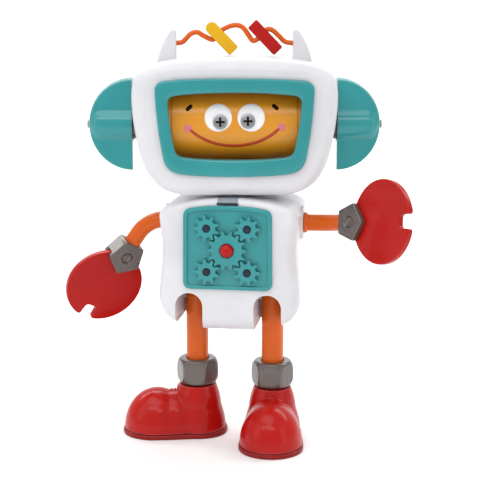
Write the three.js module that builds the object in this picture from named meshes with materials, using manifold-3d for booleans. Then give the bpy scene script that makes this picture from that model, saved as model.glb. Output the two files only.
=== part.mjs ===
// A moulded plastic activity robot, 350 mm tall, as an assembly of separate named pieces.
// Units are millimetres. +Z is up and the robot's chest faces -Y. Pieces named left are at -X and
// pieces named right at +X, as seen from the front. The robot stands with its head turned a little,
// its right arm forward, and its left boot turned sideways.

import * as THREE from "three";
import { mergeVertices } from "three/addons/utils/BufferGeometryUtils.js";
import Module from "manifold-3d";

const wasm = await Module();
wasm.setup();

// ---- Driving dimensions ----

const GAP = 0.3; // clearance between pieces that would otherwise touch
const WALL = 2.4; // moulded shell wall
const SPLIT = 0.15; // half the seam between a front and a rear shell

const HEAD_TURN = 8.5; // degrees about Z, the head's resting turn
const HEAD = { width: 165.6, bottom: 212, top: 323, depth: 80, round: 10, waist: 290 };
const DRUM = { z: 267.2, radius: 33.5, wall: 2.3, half: 66, web: 3, hub: 9 };
const AXLE_RADIUS = 5;
const AXLE_HALF = 112;
const BUSHING = { radius: 12.4, flange: 14.4, inner: 71.5, outer: 86 };
const EAR = { radius: 38.3, inner: 84, tip: 120.4, wing: 11, barrel: 16, round: 7 };
const CAP = { radius: 3.6, stem: 2.4, tip: 122.6, seat: 7 };
const BEZEL = { front: -44, back: -36, rim: 3.2 };
const HORN = { inner: 47.6, half: 7, foot: 311 };
const WIRE = { radius: 2.05, socket: 5.4, z: 333.4 };
const BEAD = { length: 31, width: 10, thick: 8, offset: 3.4, bore: 2.6 };
const BEAD_SLOPE = 44; // degrees, the wire's slope where a bead sits

const TORSO = { depth: 80, round: 7, bottom: 100, top: 210.5 };
const NECK = { barrel: 18, flange: 25, low: 203.6, high: 219.4, plate: 2.4 };
const PANEL = { half: 36.7, bottom: 135.5, top: 202, crown: 204.9, front: -43 };
const PANEL_DEPTH = { face: -41.4, back: -36.4 };
const PLUG_INSET = 3.4; // the panel's rim covers the opening behind it by this much
const GEAR = { x: 16.6, z: 17.9, centre: 168.7, thick: 4.2, addendum: 1.1, dedendum: 2.2 };
const CENTRE_TEETH = 14;
const SMALL_TEETH = 9;
const GEAR_PIN = { radius: 2.9, stem: 1.8 };
const KNOB_RADIUS = 5.6;
const LATCH = { half: 8.6, low: 205.3, high: 206.7 };

const SHOULDER = { z: 185.7, face: 58.4, boss: 14 };
const ARM = { radius: 7, reach: 22, flange: 8.6, spigot: 5, spigotEnd: 43.5 };
const CLIP = { radius: 10, inner: 45, outer: 47.6 };
const LEFT_ARM = { side: -1, bend: 56, arc: 30, angle: 0, swivel: -37 };
const RIGHT_ARM = { side: 1, bend: 48, arc: 40, angle: -102, swivel: 90 };

const NUT = { radius: 16.2, half: 8, bore: 7.5, slot: 3.2, slotStart: -4.4, pinHead: 4, round: 1.4 };
const PIN_RADIUS = 2.2;
const HAND = { radius: 34, thick: 5.4, reach: 33, tab: 7, tabEnd: -4 };
const NOTCH = { half: 5, depth: 12.5, corner: 2, flare: 3 };

const HIP = { x: 32.5, z: 120, axle: 2.5, axleHalf: 49 };
const LEG_RADIUS = 9.4;
const SLOT = { half: 11.3, back: 11.6 };
const ANKLE = { low: 44, high: 66, radius: 18.5, end: 15.4, bore: 9.8 };
const SPIGOT = { radius: 6, bottom: 26 };
const RETAINER = { radius: 10, low: 27, high: 30 };

const BOOT = { top: 43, toe: 64, heel: 25, half: 26.4, sole: 4, rim: 1.6 };
const LEFT_BOOT_YAW = -80;
const RIGHT_BOOT_YAW = 5;

const SCREW = { head: 3, shaft: 1.3, post: 4, headY: 30, tipY: -14, well: 3.5, hole: 1.7 };
const HEAD_SCREWS = [
  ["upper_left", -72.5, 297],
  ["upper_right", 72.5, 297],
  ["lower_left", -52, 225],
  ["lower_right", 52, 225],
];
const TORSO_SCREWS = [
  ["upper_left", -39, 195],
  ["upper_right", 39, 195],
  ["lower_left", -11.5, 110],
  ["lower_right", 11.5, 110],
];

const ROUND = 20; // sides of a large turned piece
const SMALL_ROUND = 10; // sides of a small turned piece
const HAND_SIDES = 24;

const rad = THREE.MathUtils.degToRad;

// ---- Materials ----

function plastic(color, roughness, metalness = 0) {
  return new THREE.MeshStandardMaterial({ color, roughness, metalness });
}

const WHITE = plastic(0xe8e8ec, 0.25);
const TEAL = plastic(0x44a5a8, 0.22);
const ORANGE = plastic(0xde692d, 0.3);
const RED = plastic(0xb42d29, 0.3);
const YELLOW = plastic(0xfac33c, 0.3);
const AMBER = plastic(0xda912d, 0.28);
const GREY = plastic(0x6b6660, 0.4, 0.2);
const PALE = plastic(0xd8d4c8, 0.35);
const DARK = plastic(0x232a3a, 0.35);
const STEEL = plastic(0x9a9a9e, 0.3, 0.9);

// ---- Solids ----

// A closed three.js geometry as a manifold solid that faces out.
function solid(geometry) {
  geometry.deleteAttribute("normal");
  geometry.deleteAttribute("uv");
  const merged = mergeVertices(geometry, 1e-4);
  const index = merged.index.array;
  const corners = [];
  for (let i = 0; i < index.length; i += 3) {
    const [a, b, c] = index.slice(i, i + 3);
    if (a !== b && b !== c && c !== a) corners.push(a, b, c);
  }
  if (signedVolume(merged.attributes.position, corners) < 0) corners.reverse();
  return new wasm.Manifold(
    new wasm.Mesh({
      numProp: 3,
      vertProperties: new Float32Array(merged.attributes.position.array),
      triVerts: new Uint32Array(corners),
    }),
  );
}

function signedVolume(position, corners) {
  const [a, b, c] = [new THREE.Vector3(), new THREE.Vector3(), new THREE.Vector3()];
  let sum = 0;
  for (let i = 0; i < corners.length; i += 3) {
    a.fromBufferAttribute(position, corners[i]);
    b.fromBufferAttribute(position, corners[i + 1]);
    c.fromBufferAttribute(position, corners[i + 2]);
    sum += a.dot(b.cross(c)) / 6;
  }
  return sum;
}

function geometryOf(body) {
  const mesh = body.getMesh();
  const geometry = new THREE.BufferGeometry();
  geometry.setAttribute("position", new THREE.BufferAttribute(mesh.vertProperties, 3));
  geometry.setIndex(new THREE.BufferAttribute(mesh.triVerts, 1));
  geometry.computeVertexNormals();
  return geometry;
}

function place(parent, name, body, material) {
  const mesh = new THREE.Mesh(geometryOf(body), material);
  mesh.name = name;
  parent.add(mesh);
  return mesh;
}

function cut(body, ...tools) {
  return tools.reduce((left, tool) => left.subtract(tool), body);
}

function join(...bodies) {
  return bodies.reduce((left, body) => left.add(body));
}

function box(x0, x1, y0, y1, z0, z1) {
  const geometry = new THREE.BoxGeometry(x1 - x0, y1 - y0, z1 - z0);
  return solid(geometry.translate((x0 + x1) / 2, (y0 + y1) / 2, (z0 + z1) / 2));
}

// A body turned about +Z from [radius, height] points that start and end on the axis.
function turned(points, sides = ROUND) {
  const profile = points.map(([r, h]) => new THREE.Vector2(r, h));
  return new THREE.LatheGeometry(profile, sides).rotateX(Math.PI / 2);
}

function turnedZ(x, y, points, sides) {
  return solid(turned(points, sides).translate(x, y, 0));
}

// The same about the +X axis through (y, z), where each point is [radius, x].
function turnedX(y, z, points, sides) {
  return solid(turned(points, sides).rotateY(Math.PI / 2).translate(0, y, z));
}

function turnedY(x, z, points, sides) {
  return solid(turned(points, sides).rotateX(-Math.PI / 2).translate(x, 0, z));
}

function rodPoints(radius, low, high) {
  return [[0, low], [radius, low], [radius, high], [0, high]];
}

function rodX(radius, x0, x1, y, z, sides = SMALL_ROUND) {
  return turnedX(y, z, rodPoints(radius, x0, x1), sides);
}

function rodY(radius, y0, y1, x, z, sides = SMALL_ROUND) {
  return turnedY(x, z, rodPoints(radius, y0, y1), sides);
}

function rodZ(radius, z0, z1, x, y, sides = SMALL_ROUND) {
  return turnedZ(x, y, rodPoints(radius, z0, z1), sides);
}

// An outline in X and Z, given depth from y0 to y1, with its edges rounded by `round`.
function slab(shape, y0, y1, round = 0, curve = 3) {
  const geometry = new THREE.ExtrudeGeometry(shape, {
    depth: y1 - y0 - 2 * round,
    curveSegments: curve,
    bevelEnabled: round > 0,
    bevelThickness: round,
    bevelSize: round,
    bevelOffset: -round,
    bevelSegments: round > 3 ? 2 : 1,
  });
  return solid(geometry.rotateX(Math.PI / 2).translate(0, y1 - round, 0));
}

// A closed shape that is the same left and right: right-hand side segments from the bottom centre
// up to the top centre, each one end point or a Bezier's two controls and its end point.
function mirroredShape(start, segments, grow = 0, centreZ = 0) {
  const width = Math.max(...segments.flat().map(([x]) => x));
  const height = Math.max(...segments.flat().map(([, z]) => Math.abs(z - centreZ)));
  const fit = ([x, z]) => [x * (1 + grow / width), centreZ + (z - centreZ) * (1 + grow / height)];
  const shape = new THREE.Shape();
  shape.moveTo(...fit([0, start]));
  for (const points of segments) follow(shape, points.map(fit));
  const back = segments.map((points) => points.at(-1));
  for (let i = segments.length - 1; i >= 0; i--) {
    const end = i > 0 ? back[i - 1] : [0, start];
    const controls = segments[i].slice(0, -1).reverse();
    follow(shape, [...controls, end].map(fit).map(([x, z]) => [-x, z]));
  }
  return shape;
}

function follow(shape, points) {
  if (points.length === 1) shape.lineTo(...points[0]);
  else shape.bezierCurveTo(...points.flat());
}

// ---- Head ----

const HEAD_MIDDLE = (HEAD.bottom + HEAD.top) / 2;

function headShape(grow) {
  const side = HEAD.width / 2;
  return mirroredShape(
    HEAD.bottom,
    [
      [[34, HEAD.bottom]],
      [[62, HEAD.bottom], [72, 226], [77, 248]],
      [[80.5, 262], [side, 278], [side, HEAD.waist]],
      [[side, 304], [80, 312.5], [68, 317]],
      [[50, 322], [25, HEAD.top], [0, HEAD.top]],
    ],
    grow,
    HEAD_MIDDLE,
  );
}

function bezelShape(grow) {
  return mirroredShape(
    228.3,
    [
      [[20, 228.3], [38, 229.4], [45, 230.8]],
      [[52, 232.4], [55.5, 236], [57.2, 243]],
      [[60.6, 260], [62.8, 280], [63.4, 297]],
      [[63.6, 302], [60, 304.4], [55, 305]],
      [[36, 306.5], [18, 306.8], [0, 306.8]],
    ],
    grow,
    DRUM.z,
  );
}

function windowShape(grow) {
  return mirroredShape(
    242,
    [
      [[18, 242], [34, 243], [41, 244.2]],
      [[46, 245.2], [47.4, 247.4], [48, 251]],
      [[50.6, 262], [52, 274], [53, 286]],
      [[53.4, 291], [51, 292.6], [46, 293.2]],
      [[30, 295], [15, 295.4], [0, 295.4]],
    ],
    grow,
    DRUM.z,
  );
}

function horn(side) {
  const shape = new THREE.Shape();
  shape.moveTo(HORN.inner, HORN.foot);
  shape.lineTo(HORN.inner, 342);
  shape.bezierCurveTo(HORN.inner, 344.2, 50.2, 345.4, 52, 343.8);
  shape.bezierCurveTo(56, 339, 61.5, 329, 63.4, 318);
  shape.lineTo(63.4, HORN.foot);
  const solidHorn = slab(shape, -HORN.half, HORN.half, 1.6, 4);
  return side > 0 ? solidHorn : solidHorn.mirror([1, 0, 0]);
}

// Both halves of a shell with its seam on the plane Y = 0. `walls` holds the solids outside,
// inside and halfway through its walls. The screw posts end halfway through them.
function splitShell(walls, spots, extras, cuts, depth) {
  const half = depth / 2;
  const posts = spots.map(([, x, z]) => (
    rodY(SCREW.post, -half, half, x, z, 8).intersect(walls.middle)
  ));
  let body = cut(join(cut(walls.outer, walls.inner), ...posts, ...extras), ...cuts);
  for (const [, x, z] of spots) {
    body = cut(
      body,
      rodY(SCREW.hole, SCREW.tipY - 1, half + 1, x, z, 6),
      rodY(SCREW.well, SCREW.headY - 2 - GAP, half + 1, x, z, 8),
    );
  }
  const far = 400;
  return {
    front: body.intersect(box(-far, far, -far, -SPLIT, -far, far)),
    rear: body.intersect(box(-far, far, SPLIT, far, -far, far)),
  };
}

function addHeadShells(head) {
  const half = HEAD.depth / 2;
  const outer = join(slab(headShape(0), -half, half, HEAD.round), horn(1), horn(-1));
  const inset = (wall) => slab(headShape(-wall), -half + wall, half - wall, HEAD.round - wall);
  const socket = HORN.inner + WIRE.socket + GAP;
  const walls = { outer, inner: inset(WALL), middle: inset(WALL / 2) };
  const { front, rear } = splitShell(walls, HEAD_SCREWS, [], [
    rodX(WIRE.radius + GAP, -socket, -HORN.inner + 1, 0, WIRE.z),
    rodX(WIRE.radius + GAP, HORN.inner - 1, socket, 0, WIRE.z),
    rodX(BUSHING.radius + 2 * GAP, -EAR.inner, EAR.inner, 0, DRUM.z, 14),
    rodZ(NECK.barrel + 4 * GAP, HEAD.bottom - 1, HEAD.bottom + WALL + 1, 0, 0, 12),
  ], HEAD.depth);
  const opening = slab(bezelShape(-BEZEL.rim), -half - 1, -half + WALL + 1);
  place(head, "head_front_shell", cut(front, opening), WHITE);
  place(head, "head_rear_shell", rear, WHITE);
}

function addBezel(head) {
  const face = -HEAD.depth / 2 - GAP;
  const rim = slab(bezelShape(0), BEZEL.front, face, 1.6);
  const plug = slab(bezelShape(-BEZEL.rim - GAP), face - 1, BEZEL.back);
  const view = slab(windowShape(0), BEZEL.front - 1, BEZEL.back + 1, 0, 3);
  place(head, "window_bezel", cut(join(rim, plug), view), TEAL);
}

function addDrum(head) {
  const inside = DRUM.radius - DRUM.wall;
  const bore = AXLE_RADIUS + GAP;
  const cavity = (x0, x1) => (
    cut(rodX(inside, x0, x1, 0, DRUM.z, ROUND), rodX(DRUM.hub, x0, x1, 0, DRUM.z))
  );
  const body = cut(
    rodX(DRUM.radius, -DRUM.half, DRUM.half, 0, DRUM.z, 28),
    cavity(-DRUM.half - 1, -DRUM.web / 2),
    cavity(DRUM.web / 2, DRUM.half + 1),
    rodX(bore, -DRUM.half - 1, DRUM.half + 1, 0, DRUM.z),
  );
  place(head, "face_drum", body, AMBER);
  place(head, "drum_axle", rodX(AXLE_RADIUS, -AXLE_HALF, AXLE_HALF, 0, DRUM.z), STEEL);
}

function bushing() {
  const points = [
    [AXLE_RADIUS + GAP, BUSHING.inner],
    [BUSHING.flange, BUSHING.inner],
    [BUSHING.flange, BUSHING.inner + 2],
    [BUSHING.radius, BUSHING.inner + 2],
    [BUSHING.radius, BUSHING.outer],
    [AXLE_RADIUS + GAP, BUSHING.outer],
    [AXLE_RADIUS + GAP, BUSHING.inner],
  ];
  return turnedX(0, DRUM.z, points, 14);
}

// Half-round knob: a barrel on the drum's axle, with a flat wing above and below it.
function ear() {
  const deep = EAR.tip - EAR.inner;
  const arc = [];
  const steps = 5;
  for (let i = 0; i <= steps; i++) {
    const angle = (i / steps) * (Math.PI / 2);
    arc.push([EAR.radius * Math.cos(angle), EAR.inner + deep * Math.sin(angle)]);
  }
  arc[steps][0] = 0;
  const dome = turnedX(0, DRUM.z, [[0, EAR.inner], ...arc], 16);
  const wing = dome.intersect(box(0, EAR.tip + 1, -EAR.wing, EAR.wing, 0, 2 * DRUM.z));
  const barrel = turnedX(0, DRUM.z, [
    [0, EAR.inner],
    [EAR.barrel, EAR.inner],
    [EAR.barrel, EAR.tip - EAR.round - 3],
    [EAR.barrel - 2, EAR.tip - EAR.round + 1],
    [EAR.barrel - EAR.round, EAR.tip - 0.6],
    [0, EAR.tip],
  ], ROUND);
  return cut(
    join(wing, barrel),
    rodX(BUSHING.radius + 4 * GAP, EAR.inner - 1, BUSHING.outer + GAP, 0, DRUM.z, 14),
    rodX(AXLE_RADIUS + GAP, EAR.inner, AXLE_HALF + GAP, 0, DRUM.z),
    rodX(CAP.stem + GAP, EAR.tip - CAP.seat, EAR.tip + 1, 0, DRUM.z, 12),
  );
}

function earCap() {
  return turnedX(0, DRUM.z, [
    [0, EAR.tip - CAP.seat + GAP],
    [CAP.stem, EAR.tip - CAP.seat + GAP],
    [CAP.stem, EAR.tip + GAP],
    [CAP.radius, EAR.tip + GAP],
    [CAP.radius * 0.8, CAP.tip - 0.6],
    [0, CAP.tip],
  ], 12);
}

function addEars(head) {
  for (const [word, side] of [["left", -1], ["right", 1]]) {
    const turn = (body) => (side > 0 ? body : body.mirror([1, 0, 0]));
    place(head, `${word}_drum_bushing`, turn(bushing()), GREY);
    place(head, `${word}_ear`, turn(ear()), TEAL);
    place(head, `${word}_ear_cap`, turn(earCap()), PALE);
  }
}

// Centre of each bead's bore, on the wire.
const YELLOW_BORE = new THREE.Vector3(-13.6, 0, 340.3);
const RED_BORE = new THREE.Vector3(22.6, 0, 340.3);

function wirePath() {
  const along = new THREE.Vector3(Math.cos(rad(BEAD_SLOPE)), 0, Math.sin(rad(BEAD_SLOPE)));
  const straight = (bore) => [-6, 0, 6].map((s) => bore.clone().addScaledVector(along, s));
  const end = HORN.inner + WIRE.socket;
  return new THREE.CatmullRomCurve3([
    new THREE.Vector3(-end, 0, WIRE.z),
    new THREE.Vector3(-HORN.inner + 1, 0, WIRE.z),
    new THREE.Vector3(-42, 0, 334.6),
    new THREE.Vector3(-36, 0, 340.6),
    new THREE.Vector3(-30.4, 0, 342),
    new THREE.Vector3(-25.4, 0, 339.2),
    ...straight(YELLOW_BORE),
    new THREE.Vector3(-1, 0, 347.6),
    new THREE.Vector3(6, 0, 346.4),
    new THREE.Vector3(11, 0, 340.2),
    new THREE.Vector3(14.6, 0, 335.4),
    ...straight(RED_BORE),
    new THREE.Vector3(31.4, 0, 343.4),
    new THREE.Vector3(36.2, 0, 339.2),
    new THREE.Vector3(41, 0, 334.6),
    new THREE.Vector3(HORN.inner - 1, 0, WIRE.z),
    new THREE.Vector3(end, 0, WIRE.z),
  ]);
}

function circleShape(radius, sides) {
  const points = [];
  for (let i = 0; i < sides; i++) {
    const angle = (i / sides) * 2 * Math.PI;
    points.push(new THREE.Vector2(radius * Math.cos(angle), radius * Math.sin(angle)));
  }
  return new THREE.Shape(points);
}

function tube(path, radius, sides, steps) {
  const options = { steps, bevelEnabled: false, extrudePath: path };
  return solid(new THREE.ExtrudeGeometry(circleShape(radius, sides), options));
}

// A bar bead: its long axis lies across the wire, and its bore is off its middle.
function beadShape(roundEnd) {
  const half = BEAD.width / 2;
  const low = BEAD.offset - BEAD.length / 2;
  const high = BEAD.offset + BEAD.length / 2;
  const shape = new THREE.Shape();
  shape.moveTo(high, half);
  if (roundEnd) {
    shape.lineTo(low + half, half);
    shape.absarc(low + half, 0, half, Math.PI / 2, (3 * Math.PI) / 2, false);
  } else {
    shape.lineTo(low, half);
    shape.lineTo(low, -half);
  }
  shape.lineTo(high, -half);
  return shape;
}

function bead(bore, roundEnd) {
  const bar = slab(beadShape(roundEnd), -BEAD.thick / 2, BEAD.thick / 2, 1.2, 4);
  const drilled = cut(bar, rodZ(BEAD.bore, -BEAD.width, BEAD.width, 0, 0, 12));
  return drilled.rotate([0, 90 - BEAD_SLOPE, 0]).translate(bore.toArray());
}

function addAntenna(head) {
  place(head, "antenna_wire", tube(wirePath(), WIRE.radius, 6, 44), ORANGE);
  place(head, "yellow_bead", bead(YELLOW_BORE, true), YELLOW);
  place(head, "red_bead", bead(RED_BORE, false), RED);
}

function screw(x, z) {
  return turnedY(x, z, [
    [0, SCREW.tipY],
    [SCREW.shaft, SCREW.tipY + 2],
    [SCREW.shaft, SCREW.headY - 2],
    [SCREW.head, SCREW.headY - 2],
    [SCREW.head, SCREW.headY - 0.6],
    [0, SCREW.headY],
  ], 8);
}

function addScrews(parent, word, spots) {
  for (const [spot, x, z] of spots) place(parent, `${word}_screw_${spot}`, screw(x, z), STEEL);
}

// ---- Torso ----

const TORSO_MIDDLE = (TORSO.bottom + TORSO.top) / 2;

function torsoShape(grow) {
  return mirroredShape(
    TORSO.bottom,
    [
      [[24, TORSO.bottom]],
      [[44, 100.5], [58.5, 110], [58.5, 126]],
      [[58.5, 142], [55.4, 154], [55.4, 166]],
      [[55.4, 178], [57.6, 184], [57.6, 192]],
      [[57.6, 199], [54, 202.6], [48, 204]],
      [[34, 207.4], [18, TORSO.top], [0, TORSO.top]],
    ],
    grow,
    TORSO_MIDDLE,
  );
}

function panelShape(grow) {
  const corner = 7;
  const { half, bottom, top, crown } = PANEL;
  return mirroredShape(
    bottom,
    [
      [[half - corner, bottom]],
      [[half - 2, bottom], [half, bottom + 2], [half, bottom + corner]],
      [[half - 0.5, top - corner]],
      [[half - 0.5, top - 2], [half - 3, top], [half - corner, top + 0.6]],
      [[18, crown], [8, crown], [0, crown]],
    ],
    grow,
    (bottom + crown) / 2,
  );
}

// The arch that a leg swings in: round over the hip, open below and in front.
function legArch(x, grow) {
  const shape = new THREE.Shape();
  const half = SLOT.half + grow;
  shape.moveTo(x - half, TORSO.bottom - 20);
  shape.lineTo(x + half, TORSO.bottom - 20);
  shape.lineTo(x + half, HIP.z);
  shape.absarc(x, HIP.z, half, 0, Math.PI, false);
  return slab(shape, -TORSO.depth, SLOT.back + grow, 0, 6);
}

// The walled slot that a leg swings in, fixed inside the torso between its front and rear walls.
function legSocket(x, room) {
  return cut(
    legArch(x, WALL).intersect(room),
    legArch(x, 0),
    rodX(HIP.axle + GAP, x - 2 * SLOT.half, x + 2 * SLOT.half, 0, HIP.z),
  );
}

function addTorsoShells(torso) {
  const half = TORSO.depth / 2;
  const outer = slab(torsoShape(0), -half, half, TORSO.round);
  const inset = (wall) => slab(torsoShape(-wall), -half + wall, half - wall, TORSO.round - wall);
  const sides = [-1, 1];
  const bosses = sides.map((s) => rodX(SHOULDER.boss, s * 48, s * SHOULDER.face, 0, SHOULDER.z, ROUND));
  const cuts = [
    ...sides.map((s) => legArch(s * HIP.x, 0)),
    ...sides.map((s) => rodX(ARM.radius + GAP, s * 51.2, s * 60, 0, SHOULDER.z, 20)),
    ...sides.map((s) => rodX(ARM.spigot + GAP, s * 47, s * 52, 0, SHOULDER.z)),
    rodZ(NECK.barrel + GAP, TORSO.top - WALL - 2, TORSO.top + 1, 0, 0, 12),
  ];
  const walls = { outer, inner: inset(WALL), middle: inset(WALL / 2) };
  const { front, rear } = splitShell(walls, TORSO_SCREWS, bosses, cuts, TORSO.depth);
  const opening = slab(panelShape(-PLUG_INSET), -half - 1, -half + WALL + 1);
  const seatHalf = LATCH.half + GAP;
  const latchSeat = box(-seatHalf, seatHalf, -half - 1, -half + 1, LATCH.low - GAP, LATCH.high + GAP);
  const latch = box(-LATCH.half, LATCH.half, -half - 0.8, -half + 0.7, LATCH.low, LATCH.high);
  const room = inset(WALL + GAP);
  place(torso, "torso_front_shell", cut(front, opening, latchSeat), WHITE);
  place(torso, "torso_rear_shell", rear, WHITE);
  place(torso, "left_leg_socket", legSocket(-HIP.x, room), WHITE);
  place(torso, "right_leg_socket", legSocket(HIP.x, room), WHITE);
  place(torso, "panel_latch", latch, DARK);
}

function gearSpots() {
  return [
    ["upper_left", -1, 1],
    ["upper_right", 1, 1],
    ["lower_left", -1, -1],
    ["lower_right", 1, -1],
  ].map(([word, sx, sz]) => [word, sx * GEAR.x, GEAR.centre + sz * GEAR.z]);
}

function addPanel(torso) {
  const face = -TORSO.depth / 2 - GAP;
  const rim = slab(panelShape(0), PANEL.front, face, 1.2);
  const recess = slab(panelShape(-4), PANEL.front - 1, PANEL_DEPTH.face);
  const plug = slab(panelShape(-PLUG_INSET - GAP), face - 0.6, PANEL_DEPTH.back);
  const holes = gearSpots().map(([, x, z]) => rodY(GEAR_PIN.stem + GAP, -50, -20, x, z, 10));
  const shaft = rodY(GEAR_PIN.stem + GAP, -50, -20, 0, GEAR.centre, 10);
  place(torso, "gear_panel", cut(join(rim, plug), recess, shaft, ...holes), TEAL);
}

const GEAR_DISTANCE = Math.hypot(GEAR.x, GEAR.z);
const MODULE = (2 * GEAR_DISTANCE) / (CENTRE_TEETH + SMALL_TEETH);

// A spur gear's outline: straight-sided teeth, the first one centred at `phase` radians.
function gearShape(teeth, phase) {
  const pitch = (MODULE * teeth) / 2;
  const root = pitch - GEAR.dedendum;
  const tip = pitch + GEAR.addendum;
  const step = (2 * Math.PI) / teeth;
  const rootHalf = 0.29 * step;
  const tipHalf = 0.13 * step * (pitch / tip);
  const points = [];
  for (let i = 0; i < teeth; i++) {
    const middle = phase + i * step;
    const tooth = [[root, -rootHalf], [tip, -tipHalf], [tip, tipHalf], [root, rootHalf]];
    for (const [radius, angle] of tooth) {
      const at = middle + angle;
      points.push(new THREE.Vector2(radius * Math.cos(at), radius * Math.sin(at)));
    }
  }
  return new THREE.Shape(points);
}

const GEAR_BACK = PANEL_DEPTH.face - GAP;
const GEAR_FRONT = GEAR_BACK - GEAR.thick;
const POCKET_DEPTH = 2.4; // round recess in a gear's face, for its pin's or knob's head

function gear(teeth, phase, x, z, bore, pocket) {
  const blank = slab(gearShape(teeth, phase), GEAR_FRONT, GEAR_BACK).translate([x, 0, z]);
  return cut(
    blank,
    rodY(bore, GEAR_FRONT - 1, GEAR_BACK + 1, x, z, 8),
    rodY(pocket, GEAR_FRONT - 1, GEAR_FRONT + POCKET_DEPTH, x, z, 12),
  );
}

// A small gear's first tooth falls in the centre gear's gap on the line between their middles.
function smallPhase(x, z) {
  const line = Math.atan2(z - GEAR.centre, x);
  const centreStep = (2 * Math.PI) / CENTRE_TEETH;
  const offset = line / centreStep - Math.floor(line / centreStep);
  return line + Math.PI + ((0.5 - offset) * -2 * Math.PI) / SMALL_TEETH;
}

function addGears(torso) {
  const pocket = GEAR_PIN.radius + 2 * GAP;
  const bore = GEAR_PIN.stem + GAP;
  const centre = gear(CENTRE_TEETH, 0, 0, GEAR.centre, bore, KNOB_RADIUS + 2 * GAP);
  place(torso, "center_gear", centre, TEAL);
  const knobBase = GEAR_FRONT + POCKET_DEPTH - GAP;
  const tip = GEAR_FRONT - KNOB_RADIUS + 1.4;
  const knob = turnedY(0, GEAR.centre, [
    [0, PANEL_DEPTH.back + 3],
    [GEAR_PIN.stem, PANEL_DEPTH.back + 3],
    [GEAR_PIN.stem, knobBase],
    [KNOB_RADIUS, knobBase],
    [KNOB_RADIUS, knobBase - 1.4],
    [KNOB_RADIUS * 0.78, tip + 1.6],
    [KNOB_RADIUS * 0.42, tip + 0.4],
    [0, tip],
  ], 18);
  place(torso, "center_gear_knob", knob, RED);
  for (const [word, x, z] of gearSpots()) {
    const wheel = gear(SMALL_TEETH, smallPhase(x, z), x, z, bore, pocket);
    place(torso, `gear_${word}`, wheel, TEAL);
    const pin = turnedY(x, z, [
      [0, PANEL_DEPTH.back + 1],
      [GEAR_PIN.stem, PANEL_DEPTH.back + 1],
      [GEAR_PIN.stem, GEAR_FRONT + POCKET_DEPTH - GAP],
      [GEAR_PIN.radius, GEAR_FRONT + POCKET_DEPTH - GAP],
      [GEAR_PIN.radius, GEAR_FRONT + 0.4],
      [0, GEAR_FRONT - 0.2],
    ], 12);
    place(torso, `gear_pin_${word}`, pin, DARK);
  }
}

// The spool that holds the head on: one flange under the torso's top wall, one in the head.
function addNeck(torso) {
  const points = [
    [0, NECK.low],
    [NECK.flange, NECK.low],
    [NECK.flange, NECK.low + NECK.plate],
    [NECK.barrel, NECK.low + NECK.plate],
    [NECK.barrel, NECK.high - NECK.plate],
    [NECK.flange, NECK.high - NECK.plate],
    [NECK.flange, NECK.high],
    [0, NECK.high],
  ];
  place(torso, "neck_spool", turnedZ(0, 0, points, 12), GREY);
  place(torso, "hip_axle", rodX(HIP.axle, -HIP.axleHalf, HIP.axleHalf, 0, HIP.z), STEEL);
}

// ---- Arms ----

// An arm points out along +X, bends down by its bend, and turns about X by its angle.
function armEnd({ bend, arc }) {
  const angle = rad(bend);
  return new THREE.Vector3(
    SHOULDER.face + arc * Math.sin(angle) + ARM.reach * Math.cos(angle),
    0,
    -arc * (1 - Math.cos(angle)) - ARM.reach * Math.sin(angle),
  );
}

function armPath(arm) {
  const bend = rad(arm.bend);
  const points = [new THREE.Vector3(52, 0, 0)];
  const arcSteps = 6;
  for (let i = 0; i <= arcSteps; i++) {
    const angle = (bend * i) / arcSteps;
    const x = SHOULDER.face + arm.arc * Math.sin(angle);
    points.push(new THREE.Vector3(x, 0, -arm.arc * (1 - Math.cos(angle))));
  }
  const along = new THREE.Vector3(Math.cos(bend), 0, -Math.sin(bend));
  const apothem = NUT.radius * Math.cos(Math.PI / 5);
  points.push(armEnd(arm).addScaledVector(along, -apothem + NUT.bore - GAP));
  return new THREE.CatmullRomCurve3(points, false, "centripetal");
}

function armTube(arm) {
  return join(
    tube(armPath(arm), ARM.radius, 12, 11),
    turnedX(0, 0, [
      [0, SHOULDER.face + GAP],
      [ARM.flange, SHOULDER.face + GAP],
      [ARM.flange, SHOULDER.face + 2],
      [ARM.radius * 0.9, SHOULDER.face + 5.5],
      [0, SHOULDER.face + 5.5],
    ], 16),
    rodX(ARM.spigot, ARM.spigotEnd, 53, 0, 0),
  );
}

function clip() {
  return turnedX(0, 0, [
    [ARM.spigot + GAP, CLIP.inner],
    [CLIP.radius, CLIP.inner],
    [CLIP.radius, CLIP.outer],
    [ARM.spigot + GAP, CLIP.outer],
    [ARM.spigot + GAP, CLIP.inner],
  ], 16);
}

// Wrist pieces are drawn with +X along the arm's end, and the nut's own axis along Y.
function wristNut() {
  const corners = [];
  for (let i = 0; i < 5; i++) {
    const angle = (i / 5) * 2 * Math.PI;
    corners.push(new THREE.Vector2(NUT.radius * Math.cos(angle), NUT.radius * Math.sin(angle)));
  }
  const apothem = NUT.radius * Math.cos(Math.PI / 5);
  const tab = HAND.tab + GAP;
  return cut(
    slab(new THREE.Shape(corners), -NUT.half, NUT.half, NUT.round),
    rodX(ARM.radius + GAP, -apothem - 1, -apothem + NUT.bore, 0, 0, ROUND),
    rodY(HAND.radius + 2 * GAP, -NUT.slot, NUT.slot, HAND.reach, 0, HAND_SIDES),
    box(NUT.slotStart, NUT.radius, -NUT.slot, NUT.slot, -tab, tab),
    rodY(PIN_RADIUS + GAP, -NUT.half - 1, NUT.half + 1, 0, 0, 12),
    rodY(NUT.pinHead + GAP, -NUT.half - 1, -NUT.half + 2, 0, 0),
    rodY(NUT.pinHead + GAP, NUT.half - 2, NUT.half + 1, 0, 0),
  );
}

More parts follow.
